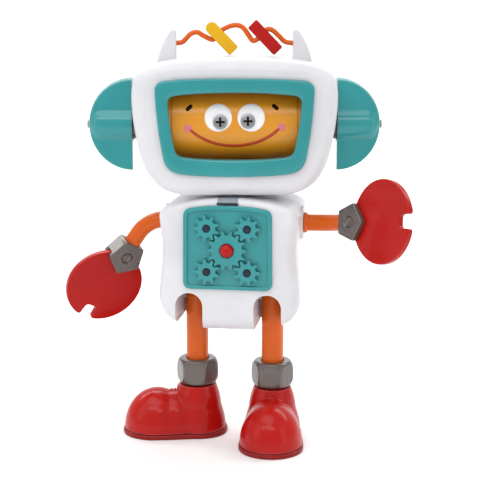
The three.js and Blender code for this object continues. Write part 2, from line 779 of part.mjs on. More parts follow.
function wristPin() {
  const head = NUT.half - 2 + GAP;
  const end = NUT.half - 0.4;
  const points = [
    [0, -end],
    [NUT.pinHead, -end],
    [NUT.pinHead, -head],
    [PIN_RADIUS, -head],
    [PIN_RADIUS, head],
    [NUT.pinHead, head],
    [NUT.pinHead, end],
    [0, end],
  ];
  return turnedY(0, 0, points, 14);
}

// The mouth in the hand's far edge: straight sides, cut corners inside, and a flare outside.
function notchShape() {
  const { half, depth, corner, flare } = NOTCH;
  const edge = HAND.reach + HAND.radius;
  const side = [
    [edge + 4, half + flare],
    [edge - corner, half],
    [edge - depth + corner, half],
    [edge - depth, half - corner],
  ];
  const outline = [...side, ...side.map(([x, z]) => [x, -z]).reverse()];
  return new THREE.Shape(outline.map(([x, z]) => new THREE.Vector2(x, z)));
}

function handDisc() {
  const half = HAND.thick / 2;
  const disc = turnedY(HAND.reach, 0, [
    [0, -half],
    [HAND.radius - 1, -half],
    [HAND.radius, -half + 1],
    [HAND.radius, half - 1],
    [HAND.radius - 1, half],
    [0, half],
  ], HAND_SIDES);
  const tab = box(HAND.tabEnd, HAND.tab, -half, half, -HAND.tab, HAND.tab);
  return cut(
    join(disc, tab),
    slab(notchShape(), -HAND.thick, HAND.thick),
    rodY(PIN_RADIUS + GAP, -HAND.thick, HAND.thick, 0, 0, 12),
  );
}

function addArm(torso, word, pose) {
  const mirror = (body) => (pose.side > 0 ? body : body.mirror([1, 0, 0]));
  const arm = new THREE.Group();
  arm.position.set(0, 0, SHOULDER.z);
  arm.rotation.x = rad(pose.angle);
  torso.add(arm);
  place(arm, `${word}_arm_tube`, mirror(armTube(pose)), ORANGE);
  place(arm, `${word}_shoulder_clip`, mirror(clip()), DARK);
  const wrist = new THREE.Group();
  const end = armEnd(pose);
  wrist.position.set(pose.side * end.x, 0, end.z);
  wrist.rotation.set(0, rad(pose.side > 0 ? pose.bend : 180 - pose.bend), 0);
  arm.add(wrist);
  const swivel = new THREE.Group();
  swivel.rotation.x = rad(pose.swivel);
  wrist.add(swivel);
  place(swivel, `${word}_wrist_nut`, wristNut(), GREY);
  place(swivel, `${word}_wrist_pin`, wristPin(), GREY);
  place(swivel, `${word}_hand_disc`, handDisc(), RED);
}

// ---- Legs ----

function legTube() {
  const knuckle = [];
  const steps = 4;
  for (let i = 0; i <= steps; i++) {
    const angle = (i / steps) * (Math.PI / 2);
    knuckle.push([LEG_RADIUS * Math.cos(angle), HIP.z + LEG_RADIUS * Math.sin(angle)]);
  }
  knuckle[steps][0] = 0;
  const body = turnedZ(0, 0, [
    [0, SPIGOT.bottom],
    [SPIGOT.radius, SPIGOT.bottom],
    [SPIGOT.radius, BOOT.top + GAP],
    [LEG_RADIUS, BOOT.top + GAP],
    ...knuckle,
  ], 16);
  return cut(body, rodX(HIP.axle + GAP, -LEG_RADIUS - 1, LEG_RADIUS + 1, 0, HIP.z));
}

function ankleNut() {
  const middle = (ANKLE.low + ANKLE.high) / 2;
  const hex = turned(rodPoints(ANKLE.radius, ANKLE.low, ANKLE.high), 6).rotateZ(Math.PI / 2);
  const rounding = turnedZ(0, 0, [
    [0, ANKLE.low],
    [ANKLE.end, ANKLE.low],
    [ANKLE.radius * 0.96, ANKLE.low + 5],
    [ANKLE.radius, middle],
    [ANKLE.radius * 0.96, ANKLE.high - 5],
    [ANKLE.end, ANKLE.high],
    [0, ANKLE.high],
  ], 12);
  return cut(
    solid(hex).intersect(rounding),
    rodZ(ANKLE.bore, ANKLE.low - 1, ANKLE.high + 1, 0, 0, 20),
  );
}

function ankleRetainer() {
  return turnedZ(0, 0, [
    [SPIGOT.radius + GAP, RETAINER.low],
    [RETAINER.radius, RETAINER.low],
    [RETAINER.radius, RETAINER.high],
    [SPIGOT.radius + GAP, RETAINER.high],
    [SPIGOT.radius + GAP, RETAINER.low],
  ], 16);
}

// Boots are drawn with the toe towards -Y and the ankle's axis on Z.
function ellipsoid(y, z, rx, ry, rz) {
  return solid(new THREE.SphereGeometry(1, 16, 8).rotateX(Math.PI / 2).scale(rx, ry, rz).translate(0, y, z));
}

function bootUpper() {
  const shaft = turnedZ(0, 0, [
    [0, 0],
    [23.6, 0],
    [24.6, 8],
    [22.6, 19],
    [20.4, 28],
    [18, 37],
    [15, BOOT.top],
    [0, BOOT.top],
  ], 20);
  const body = join(
    shaft,
    ellipsoid(-35, 6, BOOT.half, BOOT.toe - 35.4, 32.4),
    ellipsoid(-17, 6, 22.4, 24, 31),
  );
  const cavity = join(
    rodZ(RETAINER.radius + 1, 0, RETAINER.high + 1, 0, 0, 16),
    rodZ(SPIGOT.radius + GAP, 0, BOOT.top + 1, 0, 0, 16),
  );
  return cut(body.intersect(box(-60, 60, -80, 60, BOOT.sole + GAP, BOOT.top + 1)), cavity);
}

function soleShape() {
  const half = BOOT.half + BOOT.rim;
  const heelHalf = BOOT.heel + BOOT.rim - 0.6;
  const toeMiddle = BOOT.toe - half + 1.4;
  return mirroredShape(-BOOT.heel - BOOT.rim, [
    [[heelHalf * 0.6, -BOOT.heel - BOOT.rim], [heelHalf, -heelHalf * 0.6], [heelHalf, 0]],
    [[heelHalf, 12], [half, 20], [half, toeMiddle]],
    [[half, toeMiddle + half * 0.56], [half * 0.56, BOOT.toe + BOOT.rim], [0, BOOT.toe + BOOT.rim]],
  ]);
}

function bootSole() {
  const geometry = new THREE.ExtrudeGeometry(soleShape(), {
    depth: BOOT.sole - 1.2,
    curveSegments: 4,
    bevelThickness: 0.6,
    bevelSize: 0.8,
    bevelOffset: -0.8,
    bevelSegments: 1,
  });
  return solid(geometry.rotateX(Math.PI).translate(0, 0, BOOT.sole - 0.6));
}

function addLeg(torso, word, side, yaw) {
  const leg = new THREE.Group();
  leg.position.set(side * HIP.x, 0, 0);
  torso.add(leg);
  place(leg, `${word}_leg_tube`, legTube(), ORANGE);
  place(leg, `${word}_ankle_nut`, ankleNut(), GREY);
  place(leg, `${word}_ankle_retainer`, ankleRetainer(), DARK);
  const boot = new THREE.Group();
  boot.rotation.z = rad(yaw);
  leg.add(boot);
  place(boot, `${word}_boot_upper`, bootUpper(), RED);
  place(boot, `${word}_boot_sole`, bootSole(), RED);
}

// ---- Assembly ----

function robot() {
  const torso = new THREE.Group();
  addTorsoShells(torso);
  addPanel(torso);
  addGears(torso);
  addNeck(torso);
  addScrews(torso, "torso", TORSO_SCREWS);
  addArm(torso, "left", LEFT_ARM);
  addArm(torso, "right", RIGHT_ARM);
  addLeg(torso, "left", -1, LEFT_BOOT_YAW);
  addLeg(torso, "right", 1, RIGHT_BOOT_YAW);
  const head = new THREE.Group();
  head.rotation.z = rad(HEAD_TURN);
  torso.add(head);
  addHeadShells(head);
  addBezel(head);
  addDrum(head);
  addEars(head);
  addAntenna(head);
  addScrews(head, "head", HEAD_SCREWS);
  return torso;
}

// The finished assembly stands on Z = 0 with its box centred on the Z axis.
function centred(assembly) {
  assembly.updateMatrixWorld(true);
  const middle = new THREE.Box3().setFromObject(assembly, true).getCenter(new THREE.Vector3());
  assembly.position.set(-middle.x, -middle.y, 0);
  const group = new THREE.Group();
  group.add(assembly);
  return group;
}

export default centred(robot());
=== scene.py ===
"""The looks of a moulded plastic activity robot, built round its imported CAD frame.

Lengths are millimetres in the torso's own frame until a piece is placed, and metres after that.
"left" and "right" are as seen from the front.
"""

import math

import bmesh
import bpy
import numpy as np
from mathutils import Matrix, Vector
from mathutils.bvhtree import BVHTree


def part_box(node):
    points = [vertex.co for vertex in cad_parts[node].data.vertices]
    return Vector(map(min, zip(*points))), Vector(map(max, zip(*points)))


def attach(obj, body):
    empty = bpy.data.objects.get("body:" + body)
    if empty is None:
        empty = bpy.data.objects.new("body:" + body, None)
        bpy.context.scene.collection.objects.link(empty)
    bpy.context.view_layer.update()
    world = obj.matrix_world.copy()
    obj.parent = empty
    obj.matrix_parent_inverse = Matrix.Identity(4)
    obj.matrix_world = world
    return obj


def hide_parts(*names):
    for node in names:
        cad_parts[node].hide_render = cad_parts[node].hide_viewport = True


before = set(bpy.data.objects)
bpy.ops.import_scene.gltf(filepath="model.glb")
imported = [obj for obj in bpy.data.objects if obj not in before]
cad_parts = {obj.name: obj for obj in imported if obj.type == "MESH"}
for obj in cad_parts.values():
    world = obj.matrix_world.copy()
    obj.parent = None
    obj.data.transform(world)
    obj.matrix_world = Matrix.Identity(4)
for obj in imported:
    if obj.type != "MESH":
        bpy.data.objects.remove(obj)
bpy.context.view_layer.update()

MM = 0.001
GAP = 0.3
SPLIT = 0.15
WALL = 2.4
HALF_DEPTH = 40
SHELL_ROUND = 10
FACE_PLANE = -40.3
PLUG_BACK = -36

HEAD_TURN = 8.5
DRUM_Z = 267.2
DRUM_RADIUS = 33.5
DRUM_END = 66
EAR_FACE = 84
EAR_DEPTH = 36.4
EAR_HALF_HEIGHT = 38.3
WIRE_Z = 333.4
WIRE_RADIUS = 2.05
BEAD_SLOPE = 44
SHOULDER_Z = 185.7
SHOULDER_FACE = 58.4
ARM_RADIUS = 7
FOREARM = 22
WRIST_RADIUS = 16.2
WRIST_FLAT = WRIST_RADIUS * math.cos(math.pi / 5)
RIVET_BORE = 2.5
HAND_RADIUS = 33.65
HAND_MIDDLE = 33
ARMS = {
    "left": {"bend": 56, "arc": 30, "angle": 0, "swivel": -37},
    "right": {"bend": 48, "arc": 40, "angle": -102, "swivel": 90},
}
BOOT_YAW = {"left": -80, "right": 5}
HIP_X = 32.5
HIP_Z = 120.0
HIP_BORE = 2.8
LEG_RADIUS = 9.4
ANKLE_LOW = 44
ANKLE_HIGH = 66
ANKLE_FLAT = 18.5 * math.cos(math.pi / 6)
GEAR_Z = 168.7
GEAR_X = 16.6
GEAR_RISE = 17.9
CENTER_TEETH = 14
SMALL_TEETH = 9
GEAR_BORE = 2.1
GEAR_SPOTS = {
    "upper_left": (-GEAR_X, GEAR_Z + GEAR_RISE),
    "upper_right": (GEAR_X, GEAR_Z + GEAR_RISE),
    "lower_left": (-GEAR_X, GEAR_Z - GEAR_RISE),
    "lower_right": (GEAR_X, GEAR_Z - GEAR_RISE),
}
GEAR_BACK = -41.7
GEAR_FRONT = -45.9
HEAD_SCREWS = {
    "upper_left": (-72.5, 297),
    "upper_right": (72.5, 297),
    "lower_left": (-52, 225),
    "lower_right": (52, 225),
}
TORSO_SCREWS = {
    "upper_left": (-39, 195),
    "upper_right": (39, 195),
    "lower_left": (-11.5, 110),
    "lower_right": (11.5, 110),
}


# ---- Frames ----

axle_low, axle_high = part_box("hip_axle")
TORSO = Matrix.Translation(
    ((axle_low.x + axle_high.x) / 2 / MM, (axle_low.y + axle_high.y) / 2 / MM, 0)
)
HEAD = TORSO @ Matrix.Rotation(math.radians(HEAD_TURN), 4, "Z")


def turn(degrees, axis):
    return Matrix.Rotation(math.radians(degrees), 4, axis)


def move(x, y, z):
    return Matrix.Translation((x, y, z))


MIRROR = Matrix.Scale(-1, 4, (1, 0, 0))
SIDES = (("left", -1), ("right", 1))


# ---- Materials ----


def node_tree(name):
    material = bpy.data.materials.new(name)
    material.use_nodes = True
    tree = material.node_tree
    return material, tree, tree.nodes["Principled BSDF"]


def feed(tree, node, inputs):
    """Gives a node's inputs their values, or links them to other nodes' outputs."""
    for name, value in inputs.items():
        if isinstance(value, bpy.types.NodeSocket):
            tree.links.new(value, node.inputs[name])
        else:
            node.inputs[name].default_value = value


def add_node(tree, kind, inputs, output):
    """The named output of a new shader node whose inputs have been fed."""
    node = tree.nodes.new(f"ShaderNode{kind}")
    feed(tree, node, inputs)
    return node.outputs[output]


def noise(tree, coordinates, scale, detail, rough=0.55):
    inputs = {"Scale": scale, "Detail": detail, "Roughness": rough, "Vector": coordinates}
    return add_node(tree, "TexNoise", inputs, "Fac")


def ramp(tree, factor, low, high, colour_low, colour_high):
    node = tree.nodes.new("ShaderNodeValToRGB")
    node.color_ramp.elements[0].position = low
    node.color_ramp.elements[1].position = high
    node.color_ramp.elements[0].color = (*colour_low, 1)
    node.color_ramp.elements[1].color = (*colour_high, 1)
    tree.links.new(factor, node.inputs["Fac"])
    return node.outputs["Color"]


def mix(tree, factor, first, second):
    node = tree.nodes.new("ShaderNodeMix")
    node.data_type = "RGBA"
    for socket, value in (("Factor_Float", factor), ("A_Color", first), ("B_Color", second)):
        target = next(s for s in node.inputs if s.identifier == socket)
        if isinstance(value, bpy.types.NodeSocket):
            tree.links.new(value, target)
        else:
            target.default_value = value if socket == "Factor_Float" else (*value, 1)
    return next(s for s in node.outputs if s.identifier == "Result_Color")


def scaled(tree, factor, low, high):
    return add_node(tree, "MapRange", {"To Min": low, "To Max": high, "Value": factor}, "Result")


def bump(tree, strength, distance, height, **base):
    inputs = {"Strength": strength, "Distance": distance, "Height": height, **base}
    return add_node(tree, "Bump", inputs, "Normal")


def srgb(red, green, blue):
    values = []
    for channel in (red, green, blue):
        c = channel / 255
        values.append(c / 12.92 if c <= 0.04045 else ((c + 0.055) / 1.055) ** 2.4)
    return tuple(values)


def shade(colour, factor):
    return tuple(min(1.0, c * factor) for c in colour)


def flatness(tree):
    """1 on open surfaces, and less within half a millimetre of an edge."""
    bevel = tree.nodes.new("ShaderNodeBevel")
    bevel.samples = 4
    bevel.inputs["Radius"].default_value = 0.0005
    surface = tree.nodes.new("ShaderNodeNewGeometry")
    product = tree.nodes.new("ShaderNodeVectorMath")
    product.operation = "DOT_PRODUCT"
    tree.links.new(bevel.outputs["Normal"], product.inputs[0])
    tree.links.new(surface.outputs["Normal"], product.inputs[1])
    return product.outputs["Value"]


def plastic(name, colour, rough, wear, coat, scatter=0.0, metal=0.0, grain=0.02, gloss=0.3):
    """Moulded plastic: faint flow marks, a fine skin texture, handling smudges and paler worn edges."""
    material, tree, shader = node_tree(name)
    coordinates = tree.nodes.new("ShaderNodeTexCoord").outputs["Object"]
    flow = noise(tree, coordinates, 28.0, 3.0)
    base = ramp(tree, flow, 0.32, 0.7, shade(colour, 0.93), shade(colour, 1.05))
    specks = scaled(tree, noise(tree, coordinates, 900.0, 2.0), 0.0, 0.1)
    speckled = mix(tree, specks, base, shade(colour, 0.8))
    rim = ramp(tree, flatness(tree), 0.8, 0.985, (wear, wear, wear), (0, 0, 0))
    pale = tuple(c + (1 - c) * 0.35 for c in colour)
    smudge = noise(tree, coordinates, 60.0, 5.0, 0.65)
    skin = bump(tree, grain * 2.5, 0.0002, noise(tree, coordinates, 1400.0, 2.0))
    inputs = {
        "Base Color": mix(tree, rim, speckled, pale),
        "Roughness": scaled(tree, smudge, rough - 0.07, rough + 0.11),
        "Normal": bump(tree, 0.03, 0.002, noise(tree, coordinates, 45.0, 1.0), Normal=skin),
        "Metallic": metal,
        "Coat Weight": coat,
        "Coat Roughness": 0.07,
        "IOR": 1.5,
        "Specular IOR Level": gloss,
    }
    if scatter:
        inputs["Subsurface Weight"] = scatter
        inputs["Subsurface Radius"] = (0.004, 0.0025, 0.0015)
        inputs["Subsurface Scale"] = 0.5
    feed(tree, shader, inputs)
    return material


def brushed(name, colour, rough):
    """Turned steel with fine lathe marks and duller patches."""
    material, tree, shader = node_tree(name)
    coordinates = tree.nodes.new("ShaderNodeTexCoord").outputs["Object"]
    patches = noise(tree, coordinates, 120.0, 5.0)
    inputs = {
        "Base Color": ramp(tree, patches, 0.3, 0.75, shade(colour, 0.82), shade(colour, 1.1)),
        "Roughness": scaled(tree, patches, rough - 0.08, rough + 0.15),
        "Normal": bump(tree, 0.12, 0.0001, noise(tree, coordinates, 2600.0, 2.0)),
        "Metallic": 0.9,
    }
    feed(tree, shader, inputs)
    return material


MATERIALS = {
    "white_shell": plastic("white_shell_plastic", srgb(220, 219, 223), 0.32, 0.2, 0.12, 0.06),
    "teal_plastic": plastic("teal_plastic", srgb(36, 143, 146), 0.22, 0.3, 0.5, gloss=0.35),
    "orange_plastic": plastic("orange_plastic", srgb(214, 91, 6), 0.3, 0.25, 0.25, gloss=0.2),
    "red_plastic": plastic("red_plastic", srgb(176, 18, 12), 0.3, 0.2, 0.28, gloss=0.12),
    "yellow_plastic": plastic("yellow_plastic", srgb(228, 176, 16), 0.34, 0.2, 0.12),
    "amber_drum": plastic("amber_drum_plastic", srgb(226, 150, 36), 0.24, 0.2, 0.25, gloss=0.3),
    "grey_nut": plastic(
        "grey_nut_plastic", srgb(100, 92, 88), 0.26, 0.3, 0.5, metal=0.35, grain=0.04, gloss=0.5
    ),
    "pale_cap": plastic("pale_cap_plastic", srgb(210, 208, 190), 0.35, 0.2, 0.12),
    "dark_plastic": plastic("dark_plastic", srgb(30, 32, 52), 0.35, 0.3, 0.15),
    "steel": brushed("brushed_steel", srgb(165, 165, 170), 0.32),
}
EYE_WHITE = plastic("eye_white_paint", srgb(246, 246, 248), 0.3, 0.0, 0.3)
SMILE_PAINT = plastic("smile_paint", srgb(178, 62, 18), 0.34, 0.0, 0.2)
BROW_PAINT = plastic("brow_paint", srgb(26, 12, 6), 0.45, 0.0, 0.0, gloss=0.1)
CHEEK_PAINT = plastic("cheek_paint", srgb(222, 120, 132), 0.4, 0.0, 0.15)
SOLE_RED = plastic("sole_red_plastic", srgb(138, 26, 24), 0.38, 0.25, 0.15, gloss=0.15)
# Painted shade: this grey stands for the shadow under the head on the torso's top edge.
SHADE_GREY = plastic("painted_shade_grey_plastic", srgb(140, 150, 158), 0.4, 0.2, 0.2)


# ---- Meshes ----


def new_object(name, vertices, faces):
    mesh = bpy.data.meshes.new(name)
    mesh.from_pydata([tuple(map(float, v)) for v in vertices], [], faces)
    tidy_mesh(mesh)
    obj = bpy.data.objects.new(name, mesh)
    bpy.context.scene.collection.objects.link(obj)
    return obj


def tidy_mesh(mesh):
    distance = 0.0005
    work = bmesh.new()
    work.from_mesh(mesh)
    bmesh.ops.remove_doubles(work, verts=work.verts, dist=distance)
    bmesh.ops.dissolve_degenerate(work, edges=work.edges, dist=distance)
    bmesh.ops.recalc_face_normals(work, faces=work.faces)
    work.to_mesh(mesh)
    work.free()


def triangulated(mesh):
    """The mesh with each face over four corners split into triangles."""
    work = bmesh.new()
    work.from_mesh(mesh)
    large = [face for face in work.faces if len(face.verts) > 4]
    bmesh.ops.triangulate(work, faces=large, ngon_method="EAR_CLIP")
    work.to_mesh(mesh)
    work.free()


def loft(rings, closed=False):
    """A solid through rings of equal length. An open loft is capped at both ends."""
    count = len(rings[0])
    vertices = [p for ring in rings for p in ring]
    faces = []
    last = len(rings) if closed else len(rings) - 1
    for i in range(last):
        a, b = i * count, ((i + 1) % len(rings)) * count
        for j in range(count):
            k = (j + 1) % count
            faces.append((a + j, a + k, b + k, b + j))
    if not closed:
        faces.append(tuple(reversed(range(count))))
        faces.append(tuple((len(rings) - 1) * count + j for j in range(count)))
    return new_object("loft", vertices, faces)


def turned(points, sides=64, closed=False):
    """A body turned about +Z from (radius, height) points. Unless closed, it starts and ends on the axis."""
    vertices, faces, rows = [], [], []
    for radius, height in points:
        if radius <= 1e-6:
            rows.append([len(vertices)])
            vertices.append((0, 0, height))
            continue
        rows.append(list(range(len(vertices), len(vertices) + sides)))
        for j in range(sides):
            angle = 2 * math.pi * (j + 0.5) / sides
            vertices.append((radius * math.cos(angle), radius * math.sin(angle), height))
    pairs = list(zip(rows, rows[1:] + rows[:1])) if closed else list(zip(rows, rows[1:]))
    for low, high in pairs:
        for j in range(sides):
            k = (j + 1) % sides
            if len(low) == 1 and len(high) == 1:
                continue
            if len(low) == 1:
                faces.append((low[0], high[k], high[j]))
            elif len(high) == 1:
                faces.append((low[j], low[k], high[0]))
            else:
                faces.append((low[j], low[k], high[k], high[j]))
    return new_object("turned", vertices, faces)


def moved(obj, matrix):
    obj.data.transform(matrix)
    if matrix.determinant() < 0:
        obj.data.flip_normals()
    return obj


def on_x(obj, y=0.0, z=0.0):
    """A body turned about +Z, laid along +X through (y, z)."""
    return moved(obj, move(0, y, z) @ turn(90, "Y"))


def on_y(obj, x=0.0, z=0.0):
    """A body turned about +Z, laid along +Y through (x, z)."""
    return moved(obj, move(x, 0, z) @ turn(-90, "X"))


def rounded(points, radius=0.5, steps=3):
    """The same profile with its corners off the axis rounded."""
    made = [points[0]]
    for before, corner, after in zip(points, points[1:], points[2:]):
        p, c, n = (np.array(q, float) for q in (before, corner, after))
        back, ahead = p - c, n - c
        reach = min(radius, np.linalg.norm(back) * 0.45, np.linalg.norm(ahead) * 0.45)
        start = c + back / max(np.linalg.norm(back), 1e-9) * reach
        end = c + ahead / max(np.linalg.norm(ahead), 1e-9) * reach
        for i in range(steps + 1):
            t = i / steps
            made.append(tuple((1 - t) ** 2 * start + 2 * t * (1 - t) * c + t * t * end))
    made.append(points[-1])
    return made


def rod(radius, low, high, sides=48):
    return turned([(0, low), (radius, low), (radius, high), (0, high)], sides)


def soft_rod(radius, low, high, edge, sides):
    return turned(rounded([(0, low), (radius, low), (radius, high), (0, high)], edge), sides)


def soft_ring(inner, outer, low, high):
    profile = [(inner, low), (outer, low), (outer, high), (inner, high)]
    return turned(rounded(profile, 0.4), 48, closed=True)


def circle(sides):
    """(cosine, sine) evenly round a circle."""
    angles = [2 * math.pi * j / sides for j in range(sides)]
    return [(math.cos(a), math.sin(a)) for a in angles]


def cuboid(x0, x1, y0, y1, z0, z1):
    corners = [(x, y, z) for z in (z0, z1) for y in (y0, y1) for x in (x0, x1)]
    faces = [(0, 2, 3, 1), (4, 5, 7, 6), (0, 1, 5, 4), (2, 6, 7, 3), (0, 4, 6, 2), (1, 3, 7, 5)]
    return new_object("cuboid", corners, faces)


def apply_modifiers(obj):
    """Makes the object's mesh the one that its modifiers give, and returns it."""
    graph = bpy.context.evaluated_depsgraph_get()
    mesh = bpy.data.meshes.new_from_object(obj.evaluated_get(graph))
    obj.modifiers.clear()
    obj.data = mesh
    return mesh


def combine(base, operation, *tools):
    """base with each tool added, cut away or kept, as one mesh."""
    triangulated(base.data)
    for tool in tools:
        triangulated(tool.data)
        modifier = base.modifiers.new("combine", "BOOLEAN")
        modifier.object = tool
        modifier.operation = operation
        modifier.solver = "MANIFOLD"
    apply_modifiers(base)
    for tool in tools:
        bpy.data.objects.remove(tool)
    return base


def cut(base, *tools):
    return combine(base, "DIFFERENCE", *tools)


def union(base, *tools):
    return combine(base, "UNION", *tools)


def keep(base, *tools):
    return combine(base, "INTERSECT", *tools)


def copy_of(obj):
    twin = obj.copy()
    twin.data = obj.data.copy()
    bpy.context.scene.collection.objects.link(twin)
    return twin


def softened(obj, voxel, rounds):
    """Remeshes the body evenly, so that its edges and joins blend."""
    remesh = obj.modifiers.new("remesh", "REMESH")
    remesh.mode = "VOXEL"
    remesh.voxel_size = voxel
    smooth = obj.modifiers.new("smooth", "SMOOTH")
    smooth.iterations = rounds
    smooth.factor = 0.5
    apply_modifiers(obj)


# ---- Outlines ----


def bezier(points, steps):
    points = [np.array(p, float) for p in points]
    made = []
    for i in range(1, steps + 1):
        t = i / steps
        row = points
        while len(row) > 1:
            row = [a * (1 - t) + b * t for a, b in zip(row, row[1:])]
        made.append(row[0])
    return made


def resampled(points, count):
    """The closed polygon with `count` points evenly along it, from its first point."""
    ring = np.vstack([points, points[:1]])
    steps = np.linalg.norm(np.diff(ring, axis=0), axis=1)
    along = np.concatenate([[0], np.cumsum(steps)])
    wanted = np.linspace(0, along[-1], count, endpoint=False)
    return np.column_stack([np.interp(wanted, along, ring[:, i]) for i in (0, 1)])


def mirrored_outline(start, segments, count=256):
    """A closed outline, the same left and right, from its right half's segments."""
    right = [np.array([0.0, start])]
    for points in segments:
        steps = 40 if len(points) > 1 else 12
        right += bezier([right[-1], *points], steps)
    right = np.array(right)
    left = right[1:-1][::-1] * [-1, 1]
    return resampled(np.vstack([right, left]), count)


def inset(outline, distance):
    """The outline moved in by `distance`, along its own normals."""
    before, after = np.roll(outline, 1, axis=0), np.roll(outline, -1, axis=0)
    first, second = outline - before, after - outline
    first /= np.linalg.norm(first, axis=1, keepdims=True)
    second /= np.linalg.norm(second, axis=1, keepdims=True)
    normal = np.column_stack([-(first + second)[:, 1], (first + second)[:, 0]])
    normal /= np.linalg.norm(normal, axis=1, keepdims=True)
    mitre = np.clip((normal * np.column_stack([-second[:, 1], second[:, 0]])).sum(1), 0.4, 1)
    return outline + normal * (distance / mitre)[:, None]


def level(outline, y):
    return [(x, y, z) for x, z in outline]


def rim(outline, y, radius, steps, inward):
    """Rings from the rounded edge's inner side, on the face at y, to the full outline."""
    rings = []
    for i in range(steps + 1 if radius else 1):
        angle = math.pi / 2 * i / steps
        ring = inset(outline, radius * (1 - math.sin(angle)))
        rings.append(level(ring, y + inward * radius * (1 - math.cos(angle))))
    return rings


def slab(outline, y0, y1, round_front=0.0, round_back=0.0, steps=7, margin=0.0):
    """The outline given depth from y0 to y1, with rounded edges and a flat margin inside them."""
    rings = rim(outline, y0, round_front, steps, 1) + rim(outline, y1, round_back, steps, -1)[::-1]
    if margin:
        rings.insert(0, level(inset(outline, round_front + margin), y0))
        rings.append(level(inset(outline, round_back + margin), y1))
    return loft(rings)


def head_outline():
    return mirrored_outline(
        212,
        [
            [(34, 212)],
            [(62, 212), (72, 226), (77, 248)],
            [(80.5, 262), (82.8, 278), (82.8, 290)],
            [(82.8, 304), (80, 312.5), (68, 317)],
            [(50, 322), (25, 323), (0, 323)],
        ],
    )


def bezel_outline():
    return mirrored_outline(
        228.3,
        [
            [(20, 228.3), (38, 229.4), (45, 230.8)],
            [(52, 232.4), (55.5, 236), (57.2, 243)],
            [(60.6, 260), (62.8, 280), (63.4, 297)],
            [(63.6, 302), (60, 304.4), (55, 305)],
            [(36, 306.5), (18, 306.8), (0, 306.8)],
        ],
    )


def window_outline():
    return mirrored_outline(
        242,
        [
            [(18, 242), (34, 243), (41, 244.2)],
            [(46, 245.2), (47.4, 247.4), (48, 251)],
            [(50.6, 262), (52, 274), (53, 286)],
            [(53.4, 291), (51, 292.6), (46, 293.2)],
            [(30, 295), (15, 295.4), (0, 295.4)],
        ],
    )


def torso_outline():
    return mirrored_outline(
        100,
        [
            [(24, 100)],
            [(44, 100.5), (58.5, 110), (58.5, 126)],
            [(58.5, 142), (55.4, 154), (55.4, 166)],
            [(55.4, 178), (57.6, 184), (57.6, 192)],
            [(57.6, 199), (54, 202.6), (48, 204)],
            [(34, 207.4), (18, 210.5), (0, 210.5)],
        ],
    )


def panel_outline():
    return mirrored_outline(
        135.5,
        [
            [(29.7, 135.5)],
            [(34.7, 135.5), (36.7, 137.5), (36.7, 142.5)],
            [(36.2, 195)],
            [(36.2, 200), (33.7, 202), (29.7, 202.6)],
            [(18, 204.9), (8, 204.9), (0, 204.9)],
        ],
    )


# ---- Pieces ----


def values(items, field, width=1):
    found = np.empty(len(items) * width, np.int32 if field.endswith("index") else np.float32)
    items.foreach_get(field, found)
    return found.reshape(-1, width) if width > 1 else found


def flat_normals(mesh, least=2e-5):
    """Shades each large flat region exactly flat, and starts its rounded edges from that."""
    normals = values(mesh.polygons, "normal", 3)
    areas = values(mesh.polygons, "area")
    corner_edge = values(mesh.loops, "edge_index")
    corner_vertex = values(mesh.loops, "vertex_index")
    sizes = np.empty(len(mesh.polygons), np.int32)
    mesh.polygons.foreach_get("loop_total", sizes)
    corner_face = np.repeat(np.arange(len(sizes)), sizes)
    order = np.argsort(corner_edge, kind="stable")
    same = corner_edge[order][1:] == corner_edge[order][:-1]
    first, second = corner_face[order][:-1][same], corner_face[order][1:][same]
    level_pair = (normals[first] * normals[second]).sum(1) > 0.999999
    first, second = first[level_pair], second[level_pair]
    labels = np.arange(len(sizes))
    while True:
        lower = np.minimum(labels[first], labels[second])
        changed = labels.copy()
        np.minimum.at(changed, first, lower)
        np.minimum.at(changed, second, lower)
        changed = changed[changed]
        if (changed == labels).all():
            break
        labels = changed
    region_area = np.bincount(labels, areas, len(sizes))
    flat_face = region_area[labels] > least
    if not flat_face.any():
        return
    corner_normals = np.empty(len(corner_face) * 3, np.float32)
    mesh.corner_normals.foreach_get("vector", corner_normals)
    corner_normals = corner_normals.reshape(-1, 3)
    for label in np.unique(labels[flat_face]):
        facing = normals[label]
        touched = np.zeros(len(mesh.vertices), bool)
        touched[corner_vertex[labels[corner_face] == label]] = True
        near = touched[corner_vertex] & (normals[corner_face] @ facing > 0.9)
        corner_normals[near] = facing
    mesh.normals_split_custom_set(corner_normals.tolist())


def place(name, obj, matrix, body, slot, nodes=(), bevel=0.0, angle=38, material=None):
    """Puts a finished solid into the scene in metres, riding on its body."""
    triangulated(obj.data)
    moved(obj, Matrix.Diagonal((MM, MM, MM, 1)) @ matrix)
    mesh = obj.data
    obj.name = name
    mesh.name = name
    mesh.polygons.foreach_set("use_smooth", [True] * len(mesh.polygons))
    mesh.materials.clear()
    mesh.materials.append(material or MATERIALS[slot])
    if bevel:
        rounding = obj.modifiers.new("edge_rounding", "BEVEL")
        rounding.width = bevel * MM
        rounding.segments = 2
        rounding.limit_method = "ANGLE"
        rounding.angle_limit = math.radians(angle)
        rounding.use_clamp_overlap = False
        rounding.loop_slide = False
        mesh = apply_modifiers(obj)
        mesh.name = name
    mesh.set_sharp_from_angle(angle=math.radians(angle))
    flat_normals(mesh)
    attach(obj, body)
    if nodes:
        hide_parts(*nodes)


def stand_in(node, making, obj, matrix, body, slot, bevel=0.0, angle=38, material=None):
    """Places the finished solid of one CAD node, named after the node and how it is made."""
    place(f"{node}_{making}", obj, matrix, body, slot, [node], bevel, angle, material)


# ---- Head ----


def cross_bars(reach, half, low, high):
    """Two bars that cross at the Z axis."""
    return (
        cuboid(-reach, reach, -half, half, low, high),
        cuboid(-half, half, -reach, reach, low, high),
    )


